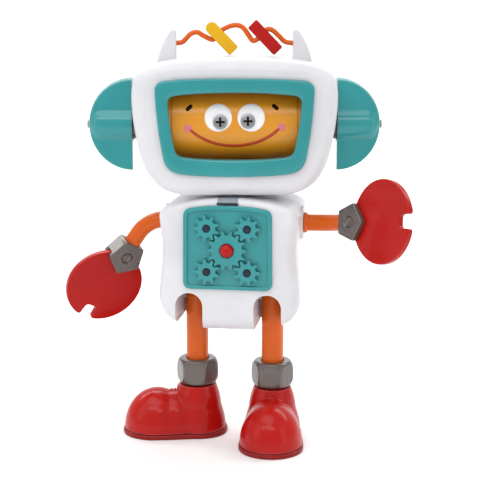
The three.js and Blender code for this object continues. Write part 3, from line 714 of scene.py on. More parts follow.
def screw_body():
    """A cross-head screw along +Z, its head up at height 30."""
    profile = rounded([(0, -14), (1.3, -12), (1.3, 28), (3, 28), (3, 29.3), (0, 30)], 0.35, 2)
    return cut(turned(profile, 32), *cross_bars(1.9, 0.35, 29.1, 31))


def add_screws(word, body, matrix, spots):
    for spot, (x, z) in spots.items():
        name = f"{word}_screw_{spot}"
        stand_in(name, "turned", on_y(screw_body(), x, z), matrix, body, "steel", 0.12)


def split_shell(outer, inner, posts, spots):
    """The front and rear halves of a hollow shell with screw posts, holes and wells."""
    body = union(cut(outer, inner), *posts)
    for x, z in spots.values():
        cut(body, on_y(rod(1.7, -15, 41, 24), x, z), on_y(rod(3.5, 27.7, 42, 40), x, z))
    front = keep(copy_of(body), cuboid(-200, 200, -200, -SPLIT, -50, 450))
    rear = keep(body, cuboid(-200, 200, SPLIT, 200, -50, 450))
    return front, rear


def screw_posts(spots, middle):
    """Posts for the screws, ending halfway through the walls."""
    made = [keep(on_y(rod(4.2, -50, 50, 32), x, z), copy_of(middle)) for x, z in spots.values()]
    bpy.data.objects.remove(middle)
    return made


def horn(side):
    """A flat fin with an upright inner edge and a curved outer one, its foot inside the head."""
    foot, top, inner, outer = 308.0, 342.0, 47.6, 63.4
    points = [np.array([inner + 3, foot])]
    points += bezier([(inner + 3, foot), (inner, foot), (inner, foot + 3)], 10)
    points.append(np.array([inner, top]))
    points += bezier([(inner, top), (inner, 344.2), (50.2, 345.4), (52, 343.8)], 14)
    points += bezier([(52, 343.8), (56, 339), (61.5, 329), (outer, 318)], 24)
    points.append(np.array([outer, foot + 3]))
    points += bezier([(outer, foot + 3), (outer, foot), (outer - 3, foot)], 10)
    outline = resampled(np.array(points)[::-1], 150)
    blade = slab(outline, -7, 7, 1.5, 1.5, 6)
    return blade if side > 0 else moved(blade, MIRROR)


def add_head_shells():
    outline = head_outline()
    outer = slab(outline, -HALF_DEPTH, HALF_DEPTH - 0.2, SHELL_ROUND, SHELL_ROUND, 10)
    outer = union(outer, horn(1), horn(-1))
    half, edge = HALF_DEPTH - WALL, SHELL_ROUND - WALL
    inner = slab(inset(outline, WALL), -half, half, edge, edge, 6)
    half, edge = HALF_DEPTH - WALL / 2, SHELL_ROUND - WALL / 2
    posts = screw_posts(HEAD_SCREWS, slab(inset(outline, WALL / 2), -half, half, edge, edge))
    front, rear = split_shell(outer, inner, posts, HEAD_SCREWS)
    for shell in (front, rear):
        cut(
            shell,
            on_x(rod(WIRE_RADIUS + GAP, -53.3, -46.6, 24), 0, WIRE_Z),
            on_x(rod(WIRE_RADIUS + GAP, 46.6, 53.3, 24), 0, WIRE_Z),
            on_x(rod(13, -90, 90, 64), 0, DRUM_Z),
            rod(19.2, 205, 216, 64),
        )
    cut(front, slab(inset(bezel_outline(), 3.2), -42, PLUG_BACK))
    stand_in("head_front_shell", "moulded", front, HEAD, "head", "white_shell", 0.35)
    stand_in("head_rear_shell", "moulded", rear, HEAD, "head", "white_shell", 0.35)


def add_bezel():
    """A crowned frame with a plug behind it that fills the hole in the head."""
    outer, window = bezel_outline(), window_outline()
    rings = [level(outer, FACE_PLANE - GAP * i) for i in range(5)]
    shoulder, height, steps = FACE_PLANE - 4 * GAP, 2.5, 20
    for i in range(1, steps):
        t = i / steps
        crown = (1 - abs(2 * t - 1) ** 3.2) ** (1 / 2.2)
        spread = 0.5 - 0.5 * math.cos(math.pi * t)
        blend = 0.35 * t + 0.65 * spread
        rings.append(level(outer * (1 - blend) + window * blend, shoulder - height * crown))
    for y in (shoulder, -39.5, -37.5, PLUG_BACK - 0.4):
        rings.append(level(window, y))
    plug = inset(outer, 3.5)
    rings.append(level(window * 0.92 + plug * 0.08, PLUG_BACK))
    rings.append(level(plug, PLUG_BACK))
    rings.append(level(plug, FACE_PLANE))
    stand_in("window_bezel", "moulded", loft(rings, closed=True), HEAD, "head", "teal_plastic")


def drum_profile():
    """A drum open at both ends round a web and a hub, with a fine groove near each end."""
    end, web, outer = -DRUM_END, -1.5, DRUM_RADIUS
    groove = outer - 0.7
    half = [(5.3, end), (9, end), (9, web), (31.2, web), (31.2, end), (32.6, end), (outer, end + 1)]
    half += [(outer, -51.6), (groove, -51.3), (groove, -50.7), (outer, -50.4)]
    return half + [(radius, -x) for radius, x in reversed(half)]


SKIN = 0.05
SUNK = 0.6


def on_drum(x, z, height, facing):
    """The point of the drum's surface seen at (x, z) from the front, `height` proud of it."""
    lean = math.asin(max(-1.0, min(1.0, (z - DRUM_Z) / DRUM_RADIUS)))
    radius = DRUM_RADIUS + height
    y, up = -radius * math.cos(lean), radius * math.sin(lean)
    c, s = math.cos(facing), math.sin(facing)
    return (x, y * c - up * s, DRUM_Z + y * s + up * c)


def drum_spot(x, z, radius, rise, facing, sides=56):
    """A raised round patch that follows the drum."""
    levels = [(0.25, rise), (0.5, rise), (0.75, rise), (0.93, rise * 0.9)]
    levels += [(1.0, SKIN), (1.0, -SUNK), (0.4, -SUNK)]
    rings = []
    for share, height in levels:
        reach = radius * share
        rings.append([on_drum(x + reach * c, z + reach * s, height, facing) for c, s in circle(sides)])
    return loft(rings)


def directions(path):
    """The unit direction of travel at each point of a path."""
    ahead = np.gradient(path, axis=0)
    return ahead / np.linalg.norm(ahead, axis=1, keepdims=True)


def drum_stroke(points, half, rise, facing):
    """A raised painted stroke with round ends."""
    points = np.array(points, float)
    ahead = directions(points)
    side = np.column_stack([-ahead[:, 1], ahead[:, 0]])
    along = np.concatenate([[0], np.cumsum(np.linalg.norm(np.diff(points, axis=0), axis=1))])
    rings = []
    for point, across, run in zip(points, side, along):
        end = min(run, along[-1] - run)
        width = half * math.sqrt(max(0.04, 1 - max(0.0, 1 - end / half) ** 2))
        section = [(-1, -SUNK), (-1, SKIN), (-0.7, rise), (0, rise * 1.15)]
        section += [(0.7, rise), (1, SKIN), (1, -SUNK)]
        rings.append([on_drum(*(point + across * width * s), h, facing) for s, h in section])
    return loft(rings)


def pupil(x, z, facing):
    """A screw-head pupil with its cross slot, and the dark cross in the slot."""
    disc = turned(rounded([(0, -0.7), (5.9, -0.7), (5.9, 0.9), (4.6, 1.25), (0, 1.35)], 0.3), 56)
    head = cut(disc, *cross_bars(3.8, 0.95, 0.5, 2))
    first, second = cross_bars(3.7, 0.85, -0.2, 0.9)
    cross = union(first, second)
    lean = math.asin((z - DRUM_Z) / DRUM_RADIUS)
    at = move(0, 0, DRUM_Z) @ Matrix.Rotation(facing, 4, "X") @ Matrix.Rotation(-lean, 4, "X")
    at = at @ move(x, -DRUM_RADIUS - 0.1, 0) @ turn(90, "X")
    return moved(head, at), moved(cross, at)


def joined(name, objects):
    """Separate solids as one mesh object."""
    work = bmesh.new()
    for obj in objects:
        work.from_mesh(obj.data)
    mesh = bpy.data.meshes.new(name)
    work.to_mesh(mesh)
    work.free()
    for obj in objects:
        bpy.data.objects.remove(obj)
    made = bpy.data.objects.new(name, mesh)
    bpy.context.scene.collection.objects.link(made)
    return made


def arc_points(points, steps=48):
    """A smooth curve through the given points."""
    points = np.array(points, float)
    t = np.linspace(0, 1, len(points))
    fit = [np.polyfit(t, points[:, i], min(3, len(points) - 1)) for i in (0, 1)]
    fine = np.linspace(0, 1, steps)
    return np.column_stack([np.polyval(c, fine) for c in fit])


def add_drum():
    body = on_x(turned(drum_profile(), 96, closed=True), 0, DRUM_Z)
    stand_in("face_drum", "moulded", body, HEAD, "drum", "amber_drum", 0.2, 50)
    faces = [
        {
            "facing": 0.0,
            "smile": [(-36, 265.6), (-19.5, 256.4), (0, 251.2), (19.5, 256.8), (36, 266.6)],
            "pupils": [(-11.6, 271.6), (10.6, 272.2)],
            "brows": [((-39, 280.6), (-34.2, 284.8)), ((30.2, 285.2), (35, 281.4))],
        },
        {
            "facing": math.radians(120),
            "smile": [(-14, 256.4), (0, 254.6), (14, 256.4)],
            "pupils": [(-13, 278.6), (13, 278.6)],
            "brows": [((-38, 284.4), (-33, 284.4)), ((33, 284.4), (38, 284.4))],
        },
        {
            "facing": math.radians(240),
            "smile": [(-24, 252.6), (-10, 256.8), (8, 257.4), (24, 261.6)],
            "pupils": [(-9.4, 275), (16.6, 275)],
            "brows": [((-38, 281), (-33.4, 284)), ((33, 286), (38, 286))],
        },
    ]
    eye_x, eye_z, eye_radius = 13.2, 275, 10.9
    whites, heads, crosses, smiles, cheeks, brows = [], [], [], [], [], []
    for face in faces:
        facing = face["facing"]
        for x, z in face["pupils"]:
            whites.append(drum_spot(math.copysign(eye_x, x), eye_z, eye_radius, 0.3, facing))
            head, cross = pupil(x, z, facing)
            heads.append(head)
            crosses.append(cross)
        curve = arc_points(face["smile"])
        smiles.append(drum_stroke(curve, 1.25, 0.25, facing))
        for x, z in (face["smile"][0], face["smile"][-1]):
            cheeks.append(drum_spot(x + math.copysign(1.4, x), z + 1.0, 3.2, 0.16, facing, 40))
        for start, end in face["brows"]:
            line = [np.array(start) + (np.array(end) - np.array(start)) * i / 10 for i in range(11)]
            brows.append(drum_stroke(line, 1.55, 0.25, facing))
    groups = [
        ("eye_whites", whites, "white_shell", EYE_WHITE),
        ("pupil_heads", heads, "steel", None),
        ("pupil_crosses", crosses, "dark_plastic", BROW_PAINT),
        ("smile_strokes", smiles, "red_plastic", SMILE_PAINT),
        ("cheek_spots", cheeks, "red_plastic", CHEEK_PAINT),
        ("brow_strokes", brows, "dark_plastic", BROW_PAINT),
    ]
    for name, objects, slot, material in groups:
        place(name, joined(name, objects), HEAD, "drum", slot, angle=40, material=material)
    axle = on_x(soft_rod(5, -112, 112, 0.6, 48), 0, DRUM_Z)
    stand_in("drum_axle", "turned", axle, HEAD, "drum", "steel")


def smooth_max(a, b, k):
    h = np.clip(0.5 + 0.5 * (a - b) / k, 0, 1)
    return b * (1 - h) + a * h + k * h * (1 - h)


def smooth_min(a, b, k):
    return -smooth_max(-a, -b, k)


def ear_thickness(u, v, share):
    """Half the ear's thickness at u out from its flat inner face and v up from its axis."""
    wing_half, barrel_radius, barrel_length = 11.0, 16, 25
    dome = EAR_HALF_HEIGHT * np.sqrt(np.clip(1 - share**2, 0, 1))
    wing = smooth_min(np.full_like(dome, wing_half), dome, 1.2)
    end = np.clip((u - barrel_length) / (EAR_DEPTH - barrel_length), 0, 1)
    radius = barrel_radius * (1 - end**2.6) ** (1 / 2.2)
    barrel = np.sqrt(np.clip(radius**2 - v**2, 0, None))
    return np.minimum(smooth_max(wing, barrel, 1.1), np.maximum(dome, barrel))


def ear_body():
    """A half-round wing with a barrel across it, as two sheets that meet along the rim."""
    rows, columns = 44, 128
    front, back = [], []
    for i in range(rows + 1):
        share = math.sin(math.pi / 2 * i / rows)
        angles = np.linspace(-math.pi / 2, math.pi / 2, columns + 1)
        u, v = EAR_DEPTH * share * np.cos(angles), EAR_HALF_HEIGHT * share * np.sin(angles)
        half = ear_thickness(u, v, np.full_like(u, share))
        if i == rows:
            half = np.zeros_like(half)
        front.append(np.column_stack([EAR_FACE + u, -half, DRUM_Z + v]))
        back.append(np.column_stack([EAR_FACE + u, half, DRUM_Z + v]))
    vertices, faces, index = [], [], {}
    for side, grid in (("f", front), ("b", back)):
        for i, row in enumerate(grid):
            for j, point in enumerate(row):
                if side == "b" and i == rows:
                    index[side, i, j] = index["f", i, j]
                    continue
                if i == 0 and j > 0:
                    index[side, i, j] = index[side, 0, 0]
                    continue
                index[side, i, j] = len(vertices)
                vertices.append(point)
        for i in range(rows):
            for j in range(columns):
                spots = ((i, j), (i, j + 1), (i + 1, j + 1), (i + 1, j))
                unique = list(dict.fromkeys(index[side, *spot] for spot in spots))
                faces.append(tuple(unique if side == "f" else reversed(unique)))
    for j in (0, columns):
        for i in range(rows):
            spots = (("f", i, j), ("f", i + 1, j), ("b", i + 1, j), ("b", i, j))
            unique = list(dict.fromkeys(index[spot] for spot in spots))
            if len(unique) > 2:
                faces.append(tuple(unique))
    return new_object("ear", vertices, faces)


def ear():
    return cut(
        ear_body(),
        on_x(rod(13.6, 80, 86.3, 64), 0, DRUM_Z),
        on_x(rod(5.3, 80, 112.3, 40), 0, DRUM_Z),
        on_x(rod(2.7, 113.4, 124, 32), 0, DRUM_Z),
    )


def add_ears():
    bushing_points = [(5.3, 71.5), (14.4, 71.5), (14.4, 73.5), (12.4, 73.5), (12.4, 86), (5.3, 86)]
    cap_points = [(0, 113.7), (2.4, 113.7), (2.4, 120.7), (3.4, 120.7), (3.6, 121.0), (3.4, 121.7)]
    cap_points += [(2.8, 122.2), (1.9, 122.45), (1.0, 122.58), (0, 122.6)]
    for word, side in SIDES:
        matrix = HEAD if side > 0 else HEAD @ MIRROR
        collar = on_x(turned(rounded(bushing_points, 0.4), 64, closed=True), 0, DRUM_Z)
        stand_in(f"{word}_drum_bushing", "turned", collar, matrix, "head", "grey_nut")
        stand_in(f"{word}_ear", "moulded", ear(), matrix, "drum", "teal_plastic", 0.5, 42)
        cap = on_x(turned(cap_points, 40), 0, DRUM_Z)
        stand_in(f"{word}_ear_cap", "moulded", cap, matrix, "drum", "pale_cap")


def catmull(points, steps):
    """Points evenly spread on a smooth curve through the given ones."""
    points = np.array(points, float)
    padded = np.vstack([2 * points[0] - points[1], points, 2 * points[-1] - points[-2]])
    made = []
    for p0, p1, p2, p3 in zip(padded, padded[1:], padded[2:], padded[3:]):
        square, cube = 2 * p0 - 5 * p1 + 4 * p2 - p3, 3 * p1 - p0 - 3 * p2 + p3
        for i in range(steps):
            t = i / steps
            made.append(0.5 * (2 * p1 + (p2 - p0) * t + square * t**2 + cube * t**3))
    made.append(points[-1])
    return np.array(made)


def swept(path, radius, sides=32):
    """A round bar along a path in the plane Y = 0."""
    across = np.array([0.0, 1.0, 0.0])
    rings = []
    for point, direction in zip(path, directions(path)):
        up = np.cross(direction, across)
        rings.append([point + radius * (c * across + s * up) for c, s in circle(sides)])
    return loft(rings)


YELLOW_BORE = np.array([-13.6, 0.0, 340.3])
RED_BORE = np.array([22.6, 0.0, 340.3])


def wire_path():
    """The wire from horn to horn, straight where it runs through each bead."""
    slope = math.radians(BEAD_SLOPE)
    along = np.array([math.cos(slope), 0, math.sin(slope)])
    before = [(-53, WIRE_Z), (-46.6, WIRE_Z), (-42, 334.6), (-36, 340.6), (-30.4, 342), (-25.4, 339.2)]
    between = [(-1, 347.6), (6, 346.4), (11, 340.2), (14.6, 335.4)]
    after = [(31.4, 343.4), (36.2, 339.2), (41, 334.6), (46.6, WIRE_Z), (53, WIRE_Z)]
    points = []
    for stretch, bore in ((before, YELLOW_BORE), (between, RED_BORE), (after, None)):
        points += [np.array([x, 0, z]) for x, z in stretch]
        if bore is not None:
            points += [bore + along * run for run in (-6, 0, 6)]
    return catmull(points, 10)


def bead_body(round_end):
    """A bar bead in its own plane: its long axis along X, its bore along Z at the origin."""
    low, high, half, corner = -12.1, 18.9, 5.0, 1.6
    points = []
    for x, z, start in ((high, half, 0), (low, half, 90), (low, -half, 180), (high, -half, 270)):
        radius = half - 0.02 if round_end and x == low else corner
        centre = np.array([x - math.copysign(radius, x), z - math.copysign(radius, z)])
        for i in range(11):
            a = math.radians(start + 9 * i)
            points.append(centre + radius * np.array([math.cos(a), math.sin(a)]))
    bar = slab(resampled(np.array(points), 140), -4, 4, 1.1, 1.1, 6, 0.3)
    bore = [(0, -9), (5.5, -9), (3.4, -5), (2.6, -3.4), (2.6, 3.4), (3.4, 5), (5.5, 9), (0, 9)]
    return cut(bar, turned(bore, 32))


def add_antenna():
    stand_in("antenna_wire", "bent", swept(wire_path(), WIRE_RADIUS), HEAD, "head", "orange_plastic")
    for word, bore, round_end in (("yellow", YELLOW_BORE, True), ("red", RED_BORE, False)):
        at = HEAD @ Matrix.Translation(bore) @ turn(90 - BEAD_SLOPE, "Y")
        slot = f"{word}_plastic"
        stand_in(f"{word}_bead", "moulded", bead_body(round_end), at, f"{word}_bead", slot, 0.3, 45)


# ---- Torso ----


def leg_arch(x, grow):
    """The slot a leg swings in: open below and in front, round at the top."""
    half = 11.3 + grow
    points = [(x - half, 80), (x + half, 80), (x + half, HIP_Z)]
    for i in range(1, 40):
        a = math.pi * i / 40
        points.append((x + half * math.cos(a), HIP_Z + half * math.sin(a)))
    points.append((x - half, HIP_Z))
    return slab(np.array(points, float), -80, 11.6 + grow)


def soft_slab(outline, less, steps=10):
    """The torso's solid, `less` smaller all round. Its edges are rounder below than at the top."""
    shoulder, span = 186, 18
    half, outline = HALF_DEPTH - less, inset(outline, less)
    rise = np.clip((outline[:, 1] - shoulder) / span, 0, 1)
    radii = SHELL_ROUND - 5 * rise**2 * (3 - 2 * rise) - less
    rings = []
    for y_side in (-1, 1):
        rows = []
        for i in range(steps + 1):
            a = math.pi / 2 * i / steps
            depths = y_side * (half - radii * (1 - math.cos(a)))
            ring = inset(outline, radii * (1 - math.sin(a)))
            rows.append([(x, y, z) for (x, z), y in zip(ring, depths)])
        rings += rows if y_side < 0 else rows[::-1]
    return loft(rings)


def leg_socket(x, room):
    """The walls of the slot that a leg swings in."""
    walls = keep(leg_arch(x, WALL), copy_of(room))
    return cut(walls, leg_arch(x, 0), on_x(rod(HIP_BORE, x - 24, x + 24, 24), 0, HIP_Z))


def shoulder_boss(side):
    """A flange round the shoulder hole, with its outer edge rounded."""
    low, high = sorted((side * 48, side * SHOULDER_FACE))
    return on_x(soft_rod(14, low, high, 0.8, 72), 0, SHOULDER_Z)


def shoulder_bores(side):
    """The wide outer hole and the narrow inner one that an arm's spigot turns in."""
    bores = []
    for radius, near, far, sides in ((ARM_RADIUS + GAP, 51.2, 60, 56), (5 + GAP, 47, 52, 40)):
        low, high = sorted((side * near, side * far))
        bores.append(on_x(rod(radius, low, high, sides), 0, SHOULDER_Z))
    return bores


def add_torso_shells():
    outline = torso_outline()
    outer, inner = soft_slab(outline, 0.0), soft_slab(outline, WALL)
    room = soft_slab(outline, WALL + GAP)
    for word, side in SIDES:
        socket = leg_socket(side * HIP_X, room)
        stand_in(f"{word}_leg_socket", "moulded", socket, TORSO, "torso", "white_shell", 0.3)
    bpy.data.objects.remove(room)
    posts = screw_posts(TORSO_SCREWS, soft_slab(outline, WALL / 2))
    posts += [shoulder_boss(-1), shoulder_boss(1)]
    front, rear = split_shell(outer, inner, posts, TORSO_SCREWS)
    for shell in (front, rear):
        tools = [leg_arch(-HIP_X, 0), leg_arch(HIP_X, 0), rod(18.3, 206, 212, 64)]
        tools.append(on_x(rod(HIP_BORE, -50, 50, 24), 0, HIP_Z))
        cut(shell, *tools, *shoulder_bores(-1), *shoulder_bores(1))
    cut(front, slab(inset(panel_outline(), 3.4), -42, PLUG_BACK), cuboid(-8.9, 8.9, -42, -39, 205, 207))
    stand_in("torso_front_shell", "moulded", front, TORSO, "torso", "white_shell", 0.4)
    stand_in("torso_rear_shell", "moulded", rear, TORSO, "torso", "white_shell", 0.4)
    # Painted shade: the latch sits in shadow in its pocket, so it is coloured dark navy instead of its own
    # teal.
    latch = cuboid(-8.6, 8.6, -40.8, -39.3, 205.3, 206.7)
    stand_in("panel_latch", "moulded", latch, TORSO, "torso", "dark_plastic", 0.25)
    # Painted shade: a thin grey skin over the top edge above the latch, where the head casts its shadow on
    # the white shell.
    tab = keep(
        slab(inset(outline, -0.12), -HALF_DEPTH - 0.12, 0, 5, 0, 8),
        cuboid(-8.4, 8.4, -41, -32, 207.1, 211),
    )
    place("painted_shade_patch", tab, TORSO, "torso", "grey_nut", bevel=0.12, material=SHADE_GREY)


def add_panel():
    """A plate with a rounded rim, a sunk field inside the rim, and a plug behind it."""
    outline = panel_outline()
    edge, crest, field = FACE_PLANE - 1.2, -43.0, -41.4
    rings = [level(outline, FACE_PLANE)]
    for i in range(7):
        a = math.pi / 2 * i / 6
        rings.append(level(inset(outline, 1.5 * (1 - math.cos(a))), edge - 1.5 * math.sin(a)))
    rings.append(level(inset(outline, 3.0), crest))
    for i in range(1, 5):
        a = math.pi / 2 * i / 4
        rings.append(level(inset(outline, 3.0 + 0.5 * math.sin(a)), crest + 0.6 * (1 - math.cos(a))))
    for distance, y in ((3.65, -41.9), (3.75, -41.5), (3.9, field), (4.3, field)):
        rings.append(level(inset(outline, distance), y))
    body = union(loft(rings), slab(inset(outline, 3.7), -40.9, PLUG_BACK - 0.4))
    spots = [*GEAR_SPOTS.values(), (0, GEAR_Z)]
    cut(body, *(on_y(rod(GEAR_BORE, -50, -30, 24), x, z) for x, z in spots))
    stand_in("gear_panel", "moulded", body, TORSO, "torso", "teal_plastic", angle=30)


def gear_outline(teeth, phase, module):
    """A spur gear's outline with slightly rounded tooth corners."""
    pitch = module * teeth / 2
    root, tip = pitch - 2.2, pitch + 1.1
    root_half, tip_half = 0.27, 0.115 * pitch / tip
    steps = 36
    count = teeth * steps
    radii = []
    for i in range(count):
        off_centre = abs((i / steps + 0.5) % 1 - 0.5)
        height = min(1.0, max(0.0, (root_half - off_centre) / (root_half - tip_half)))
        radii.append(root + (tip - root) * height)
    radii = np.array(radii)
    radii = sum(np.roll(radii, k) for k in (-1, 0, 1)) / 3
    angles = phase + 2 * math.pi * np.arange(count) / count
    return np.column_stack([radii * np.cos(angles), radii * np.sin(angles)])


def gear_body(teeth, phase, module, pocket):
    blank = slab(gear_outline(teeth, phase, module), GEAR_FRONT, GEAR_BACK, 0.18, 0.0, 2)
    return cut(
        blank,
        on_y(rod(GEAR_BORE, GEAR_FRONT - 1, GEAR_BACK + 1, 32)),
        on_y(rod(pocket, GEAR_FRONT - 1, GEAR_FRONT + 2.4, 56)),
    )


def small_phase(x, z):
    """The angle that puts a small gear's teeth in the centre gear's gaps."""
    line = math.atan2(z - GEAR_Z, x)
    offset = line / (2 * math.pi / CENTER_TEETH) % 1
    return line + math.pi - (0.5 - offset) * 2 * math.pi / SMALL_TEETH


def add_gears():
    module = 2 * math.hypot(GEAR_X, GEAR_RISE) / (CENTER_TEETH + SMALL_TEETH)
    centre = moved(gear_body(CENTER_TEETH, 0, module, 6.2), move(0, 0, GEAR_Z))
    stand_in("center_gear", "moulded", centre, TORSO, "center_gear", "teal_plastic", angle=30)
    pin_radius, seat, radius = 1.8, -43.8, 5.6
    knob = [(0, -41.5), (pin_radius, -41.5), (pin_radius, seat), (radius, seat)]
    for i in range(19):
        a = math.pi / 2 * i / 18
        knob.append((radius * math.cos(a), -45.2 - 4.9 * math.sin(a)))
    knob[-1] = (0, knob[-1][1])
    ball = on_y(turned(knob, 56), 0, GEAR_Z)
    stand_in("center_gear_knob", "moulded", ball, TORSO, "center_gear", "red_plastic", angle=50)
    for spot, (x, z) in GEAR_SPOTS.items():
        wheel = moved(gear_body(SMALL_TEETH, small_phase(x, z), module, 3.5), move(x, 0, z))
        stand_in(f"gear_{spot}", "moulded", wheel, TORSO, f"gear_{spot}", "teal_plastic", angle=30)
        # Painted shade: the dark navy pin heads nearly fill each small gear's pocket and stand for the
        # shadow inside the hole.
        profile = [(0, -35.4), (pin_radius, -35.4), (pin_radius, seat), (2.9, seat), (2.9, -45.3), (0, -46)]
        pin = turned(rounded(profile, 0.4), 40)
        stand_in(f"gear_pin_{spot}", "moulded", on_y(pin, x, z), TORSO, "torso", "dark_plastic")


def add_neck():
    profile = [(0, 203.6), (25, 203.6), (25, 206), (18, 206), (18, 217), (25, 217), (25, 219.4), (0, 219.4)]
    spool = turned(rounded(profile, 0.4), 72)
    stand_in("neck_spool", "turned", spool, TORSO, "torso", "grey_nut")
    axle = on_x(soft_rod(HIP_BORE - GAP, -49, 49, 0.4, 32), 0, HIP_Z)
    stand_in("hip_axle", "turned", axle, TORSO, "torso", "steel")


# ---- Arms ----


def arm_end(arm):
    """How far out and up from the shoulder the middle of the wrist is."""
    bend = math.radians(arm["bend"])
    return (
        SHOULDER_FACE + arm["arc"] * math.sin(bend) + FOREARM * math.cos(bend),
        -arm["arc"] * (1 - math.cos(bend)) - FOREARM * math.sin(bend),
    )


def arm_body(arm):
    bend, arc = math.radians(arm["bend"]), arm["arc"]
    points = [np.array([52.0, 0, 0]), np.array([55.0, 0, 0])]
    for i in range(25):
        a = bend * i / 24
        points.append(np.array([SHOULDER_FACE + arc * math.sin(a), 0, -arc * (1 - math.cos(a))]))
    x, z = arm_end(arm)
    along = np.array([math.cos(bend), 0, -math.sin(bend)])
    elbow, last = points[-1], np.array([x, 0, z]) - along * (WRIST_FLAT - 7.2)
    points += [elbow + (last - elbow) * t for t in (0.33, 0.66, 1.0)]
    bar = swept(np.array(points), ARM_RADIUS, 56)
    inner = SHOULDER_FACE + GAP
    collar = [(0, inner), (8.6, inner), (8.6, 60.2), (8.4, 60.8), (8, 61.2), (7.2, 61.6), (6.4, 64), (0, 64)]
    return union(bar, on_x(turned(collar, 64)), on_x(rod(5, 43.5, 53, 40)))


def polygon_radius(angle, corners, flat, sharpness):
    """A regular polygon's radius at an angle, its corners a little rounded. One corner is at zero."""
    total = 0.0
    for side in range(corners):
        facing = math.cos(angle - math.pi / corners - 2 * math.pi * side / corners)
        total += max(0.0, facing / flat) ** sharpness
    return total ** (-1 / sharpness)


def pentagon():
    count = 180
    radii = [polygon_radius(2 * math.pi * i / count, 5, WRIST_FLAT, 26) for i in range(count)]
    return np.array([(radius * c, radius * s) for radius, (c, s) in zip(radii, circle(count))])


def nut_body():
    """A five-sided wrist nut: a bore for the arm, a slot for the hand, and a dish at each face."""
    face, slot = 8, 3.2
    return cut(
        slab(pentagon(), -face, face, 1.0, 1.0, 6, 0.25),
        on_x(rod(ARM_RADIUS + GAP, -WRIST_FLAT - 2, -WRIST_FLAT + 7.5, 56)),
        on_y(rod(34.6, -slot, slot, 120), HAND_MIDDLE, 0),
        cuboid(-4.4, 7, -slot, slot, -7.3, 7.3),
        on_y(rod(RIVET_BORE, -face - 1, face + 1, 32)),
        *(on_y(turned([(0, end * 9), (5.6, end * 9), (4.3, end * 6), (0, end * 6)], 48)) for end in (-1, 1)),
    )


def pin_body():
    """A rivet with a dished head at each end."""
    head = [(4, -6.3), (4, -7.2), (3.5, -7.5), (2.7, -7.3), (1.5, -6.7), (0, -6.5)]
    points = head[::-1] + [(2.2, -6.3), (2.2, 6.3)] + [(r, -z) for r, z in head]
    return on_y(turned(points, 44))


def filleted(points):
    """A closed outline from (x, z, radius) corners."""
    corners = [np.array(p[:2], float) for p in points]
    made = []
    for i, (corner, (_, _, radius)) in enumerate(zip(corners, points)):
        if not radius:
            made.append(corner)
            continue
        before, after = corners[i - 1], corners[(i + 1) % len(corners)]
        start = corner + (before - corner) / np.linalg.norm(before - corner) * radius
        end = corner + (after - corner) / np.linalg.norm(after - corner) * radius
        made += [start, *bezier([start, corner, end], 12)]
    return np.array(made)


def hand_outline():
    """A disc with a small tab at the wrist and a notch in its far edge."""
    lip, shoulder = math.asin(6.0 / HAND_RADIUS), math.asin(7 / HAND_RADIUS)
    points = [(54.5, 5, 3.2), (65.9, 5.8, 2.6)]
    for a in np.linspace(lip + 0.11, math.pi - shoulder, 90):
        points.append((HAND_MIDDLE + HAND_RADIUS * math.cos(a), HAND_RADIUS * math.sin(a), 0))
    points.append((-4, 7, 3.2))
    return np.array(filleted(points + [(x, -z, r) for x, z, r in reversed(points)]))


def hand_body():
    blade = slab(resampled(hand_outline(), 420), -2.7, 2.7, 1.0, 1.0, 7, 0.25)
    return cut(blade, on_y(rod(RIVET_BORE, -6, 6, 32)))


def add_arm(word, side):
    shape = ARMS[word]
    arm = TORSO @ move(0, 0, SHOULDER_Z) @ turn(shape["angle"], "X")
    sided = arm if side > 0 else arm @ MIRROR
    body, hand = f"{word}_arm", f"{word}_hand"
    tube = arm_body(shape)
    stand_in(f"{word}_arm_tube", "moulded", tube, sided, body, "orange_plastic", 0.2, 45)
    ring = soft_ring(5.3, 10, 45, 47.6)
    stand_in(f"{word}_shoulder_clip", "moulded", on_x(ring), sided, body, "dark_plastic")
    x, z = arm_end(shape)
    facing = shape["bend"] if side > 0 else 180 - shape["bend"]
    wrist = arm @ move(side * x, 0, z) @ turn(facing, "Y") @ turn(shape["swivel"], "X")
    stand_in(f"{word}_wrist_nut", "moulded", nut_body(), wrist, hand, "grey_nut", 0.5)
    stand_in(f"{word}_wrist_pin", "moulded", pin_body(), wrist, hand, "grey_nut")
    stand_in(f"{word}_hand_disc", "moulded", hand_body(), wrist, hand, "red_plastic")


# ---- Legs ----


def leg_body():
    """A bar with a round top on the hip axle and a thin spigot that the boot turns on."""
    spigot, low, shoulder = 6, 26, ANKLE_LOW - 0.7
    points = [(0, low), (spigot, low), (spigot, shoulder), (LEG_RADIUS, shoulder)]
    for i in range(13):
        a = math.pi / 2 * i / 12
        points.append((LEG_RADIUS * math.cos(a), HIP_Z + LEG_RADIUS * math.sin(a)))
    points[-1] = (0, points[-1][1])
    return cut(turned(points, 64), on_x(rod(HIP_BORE, -11, 11, 32), 0, HIP_Z))


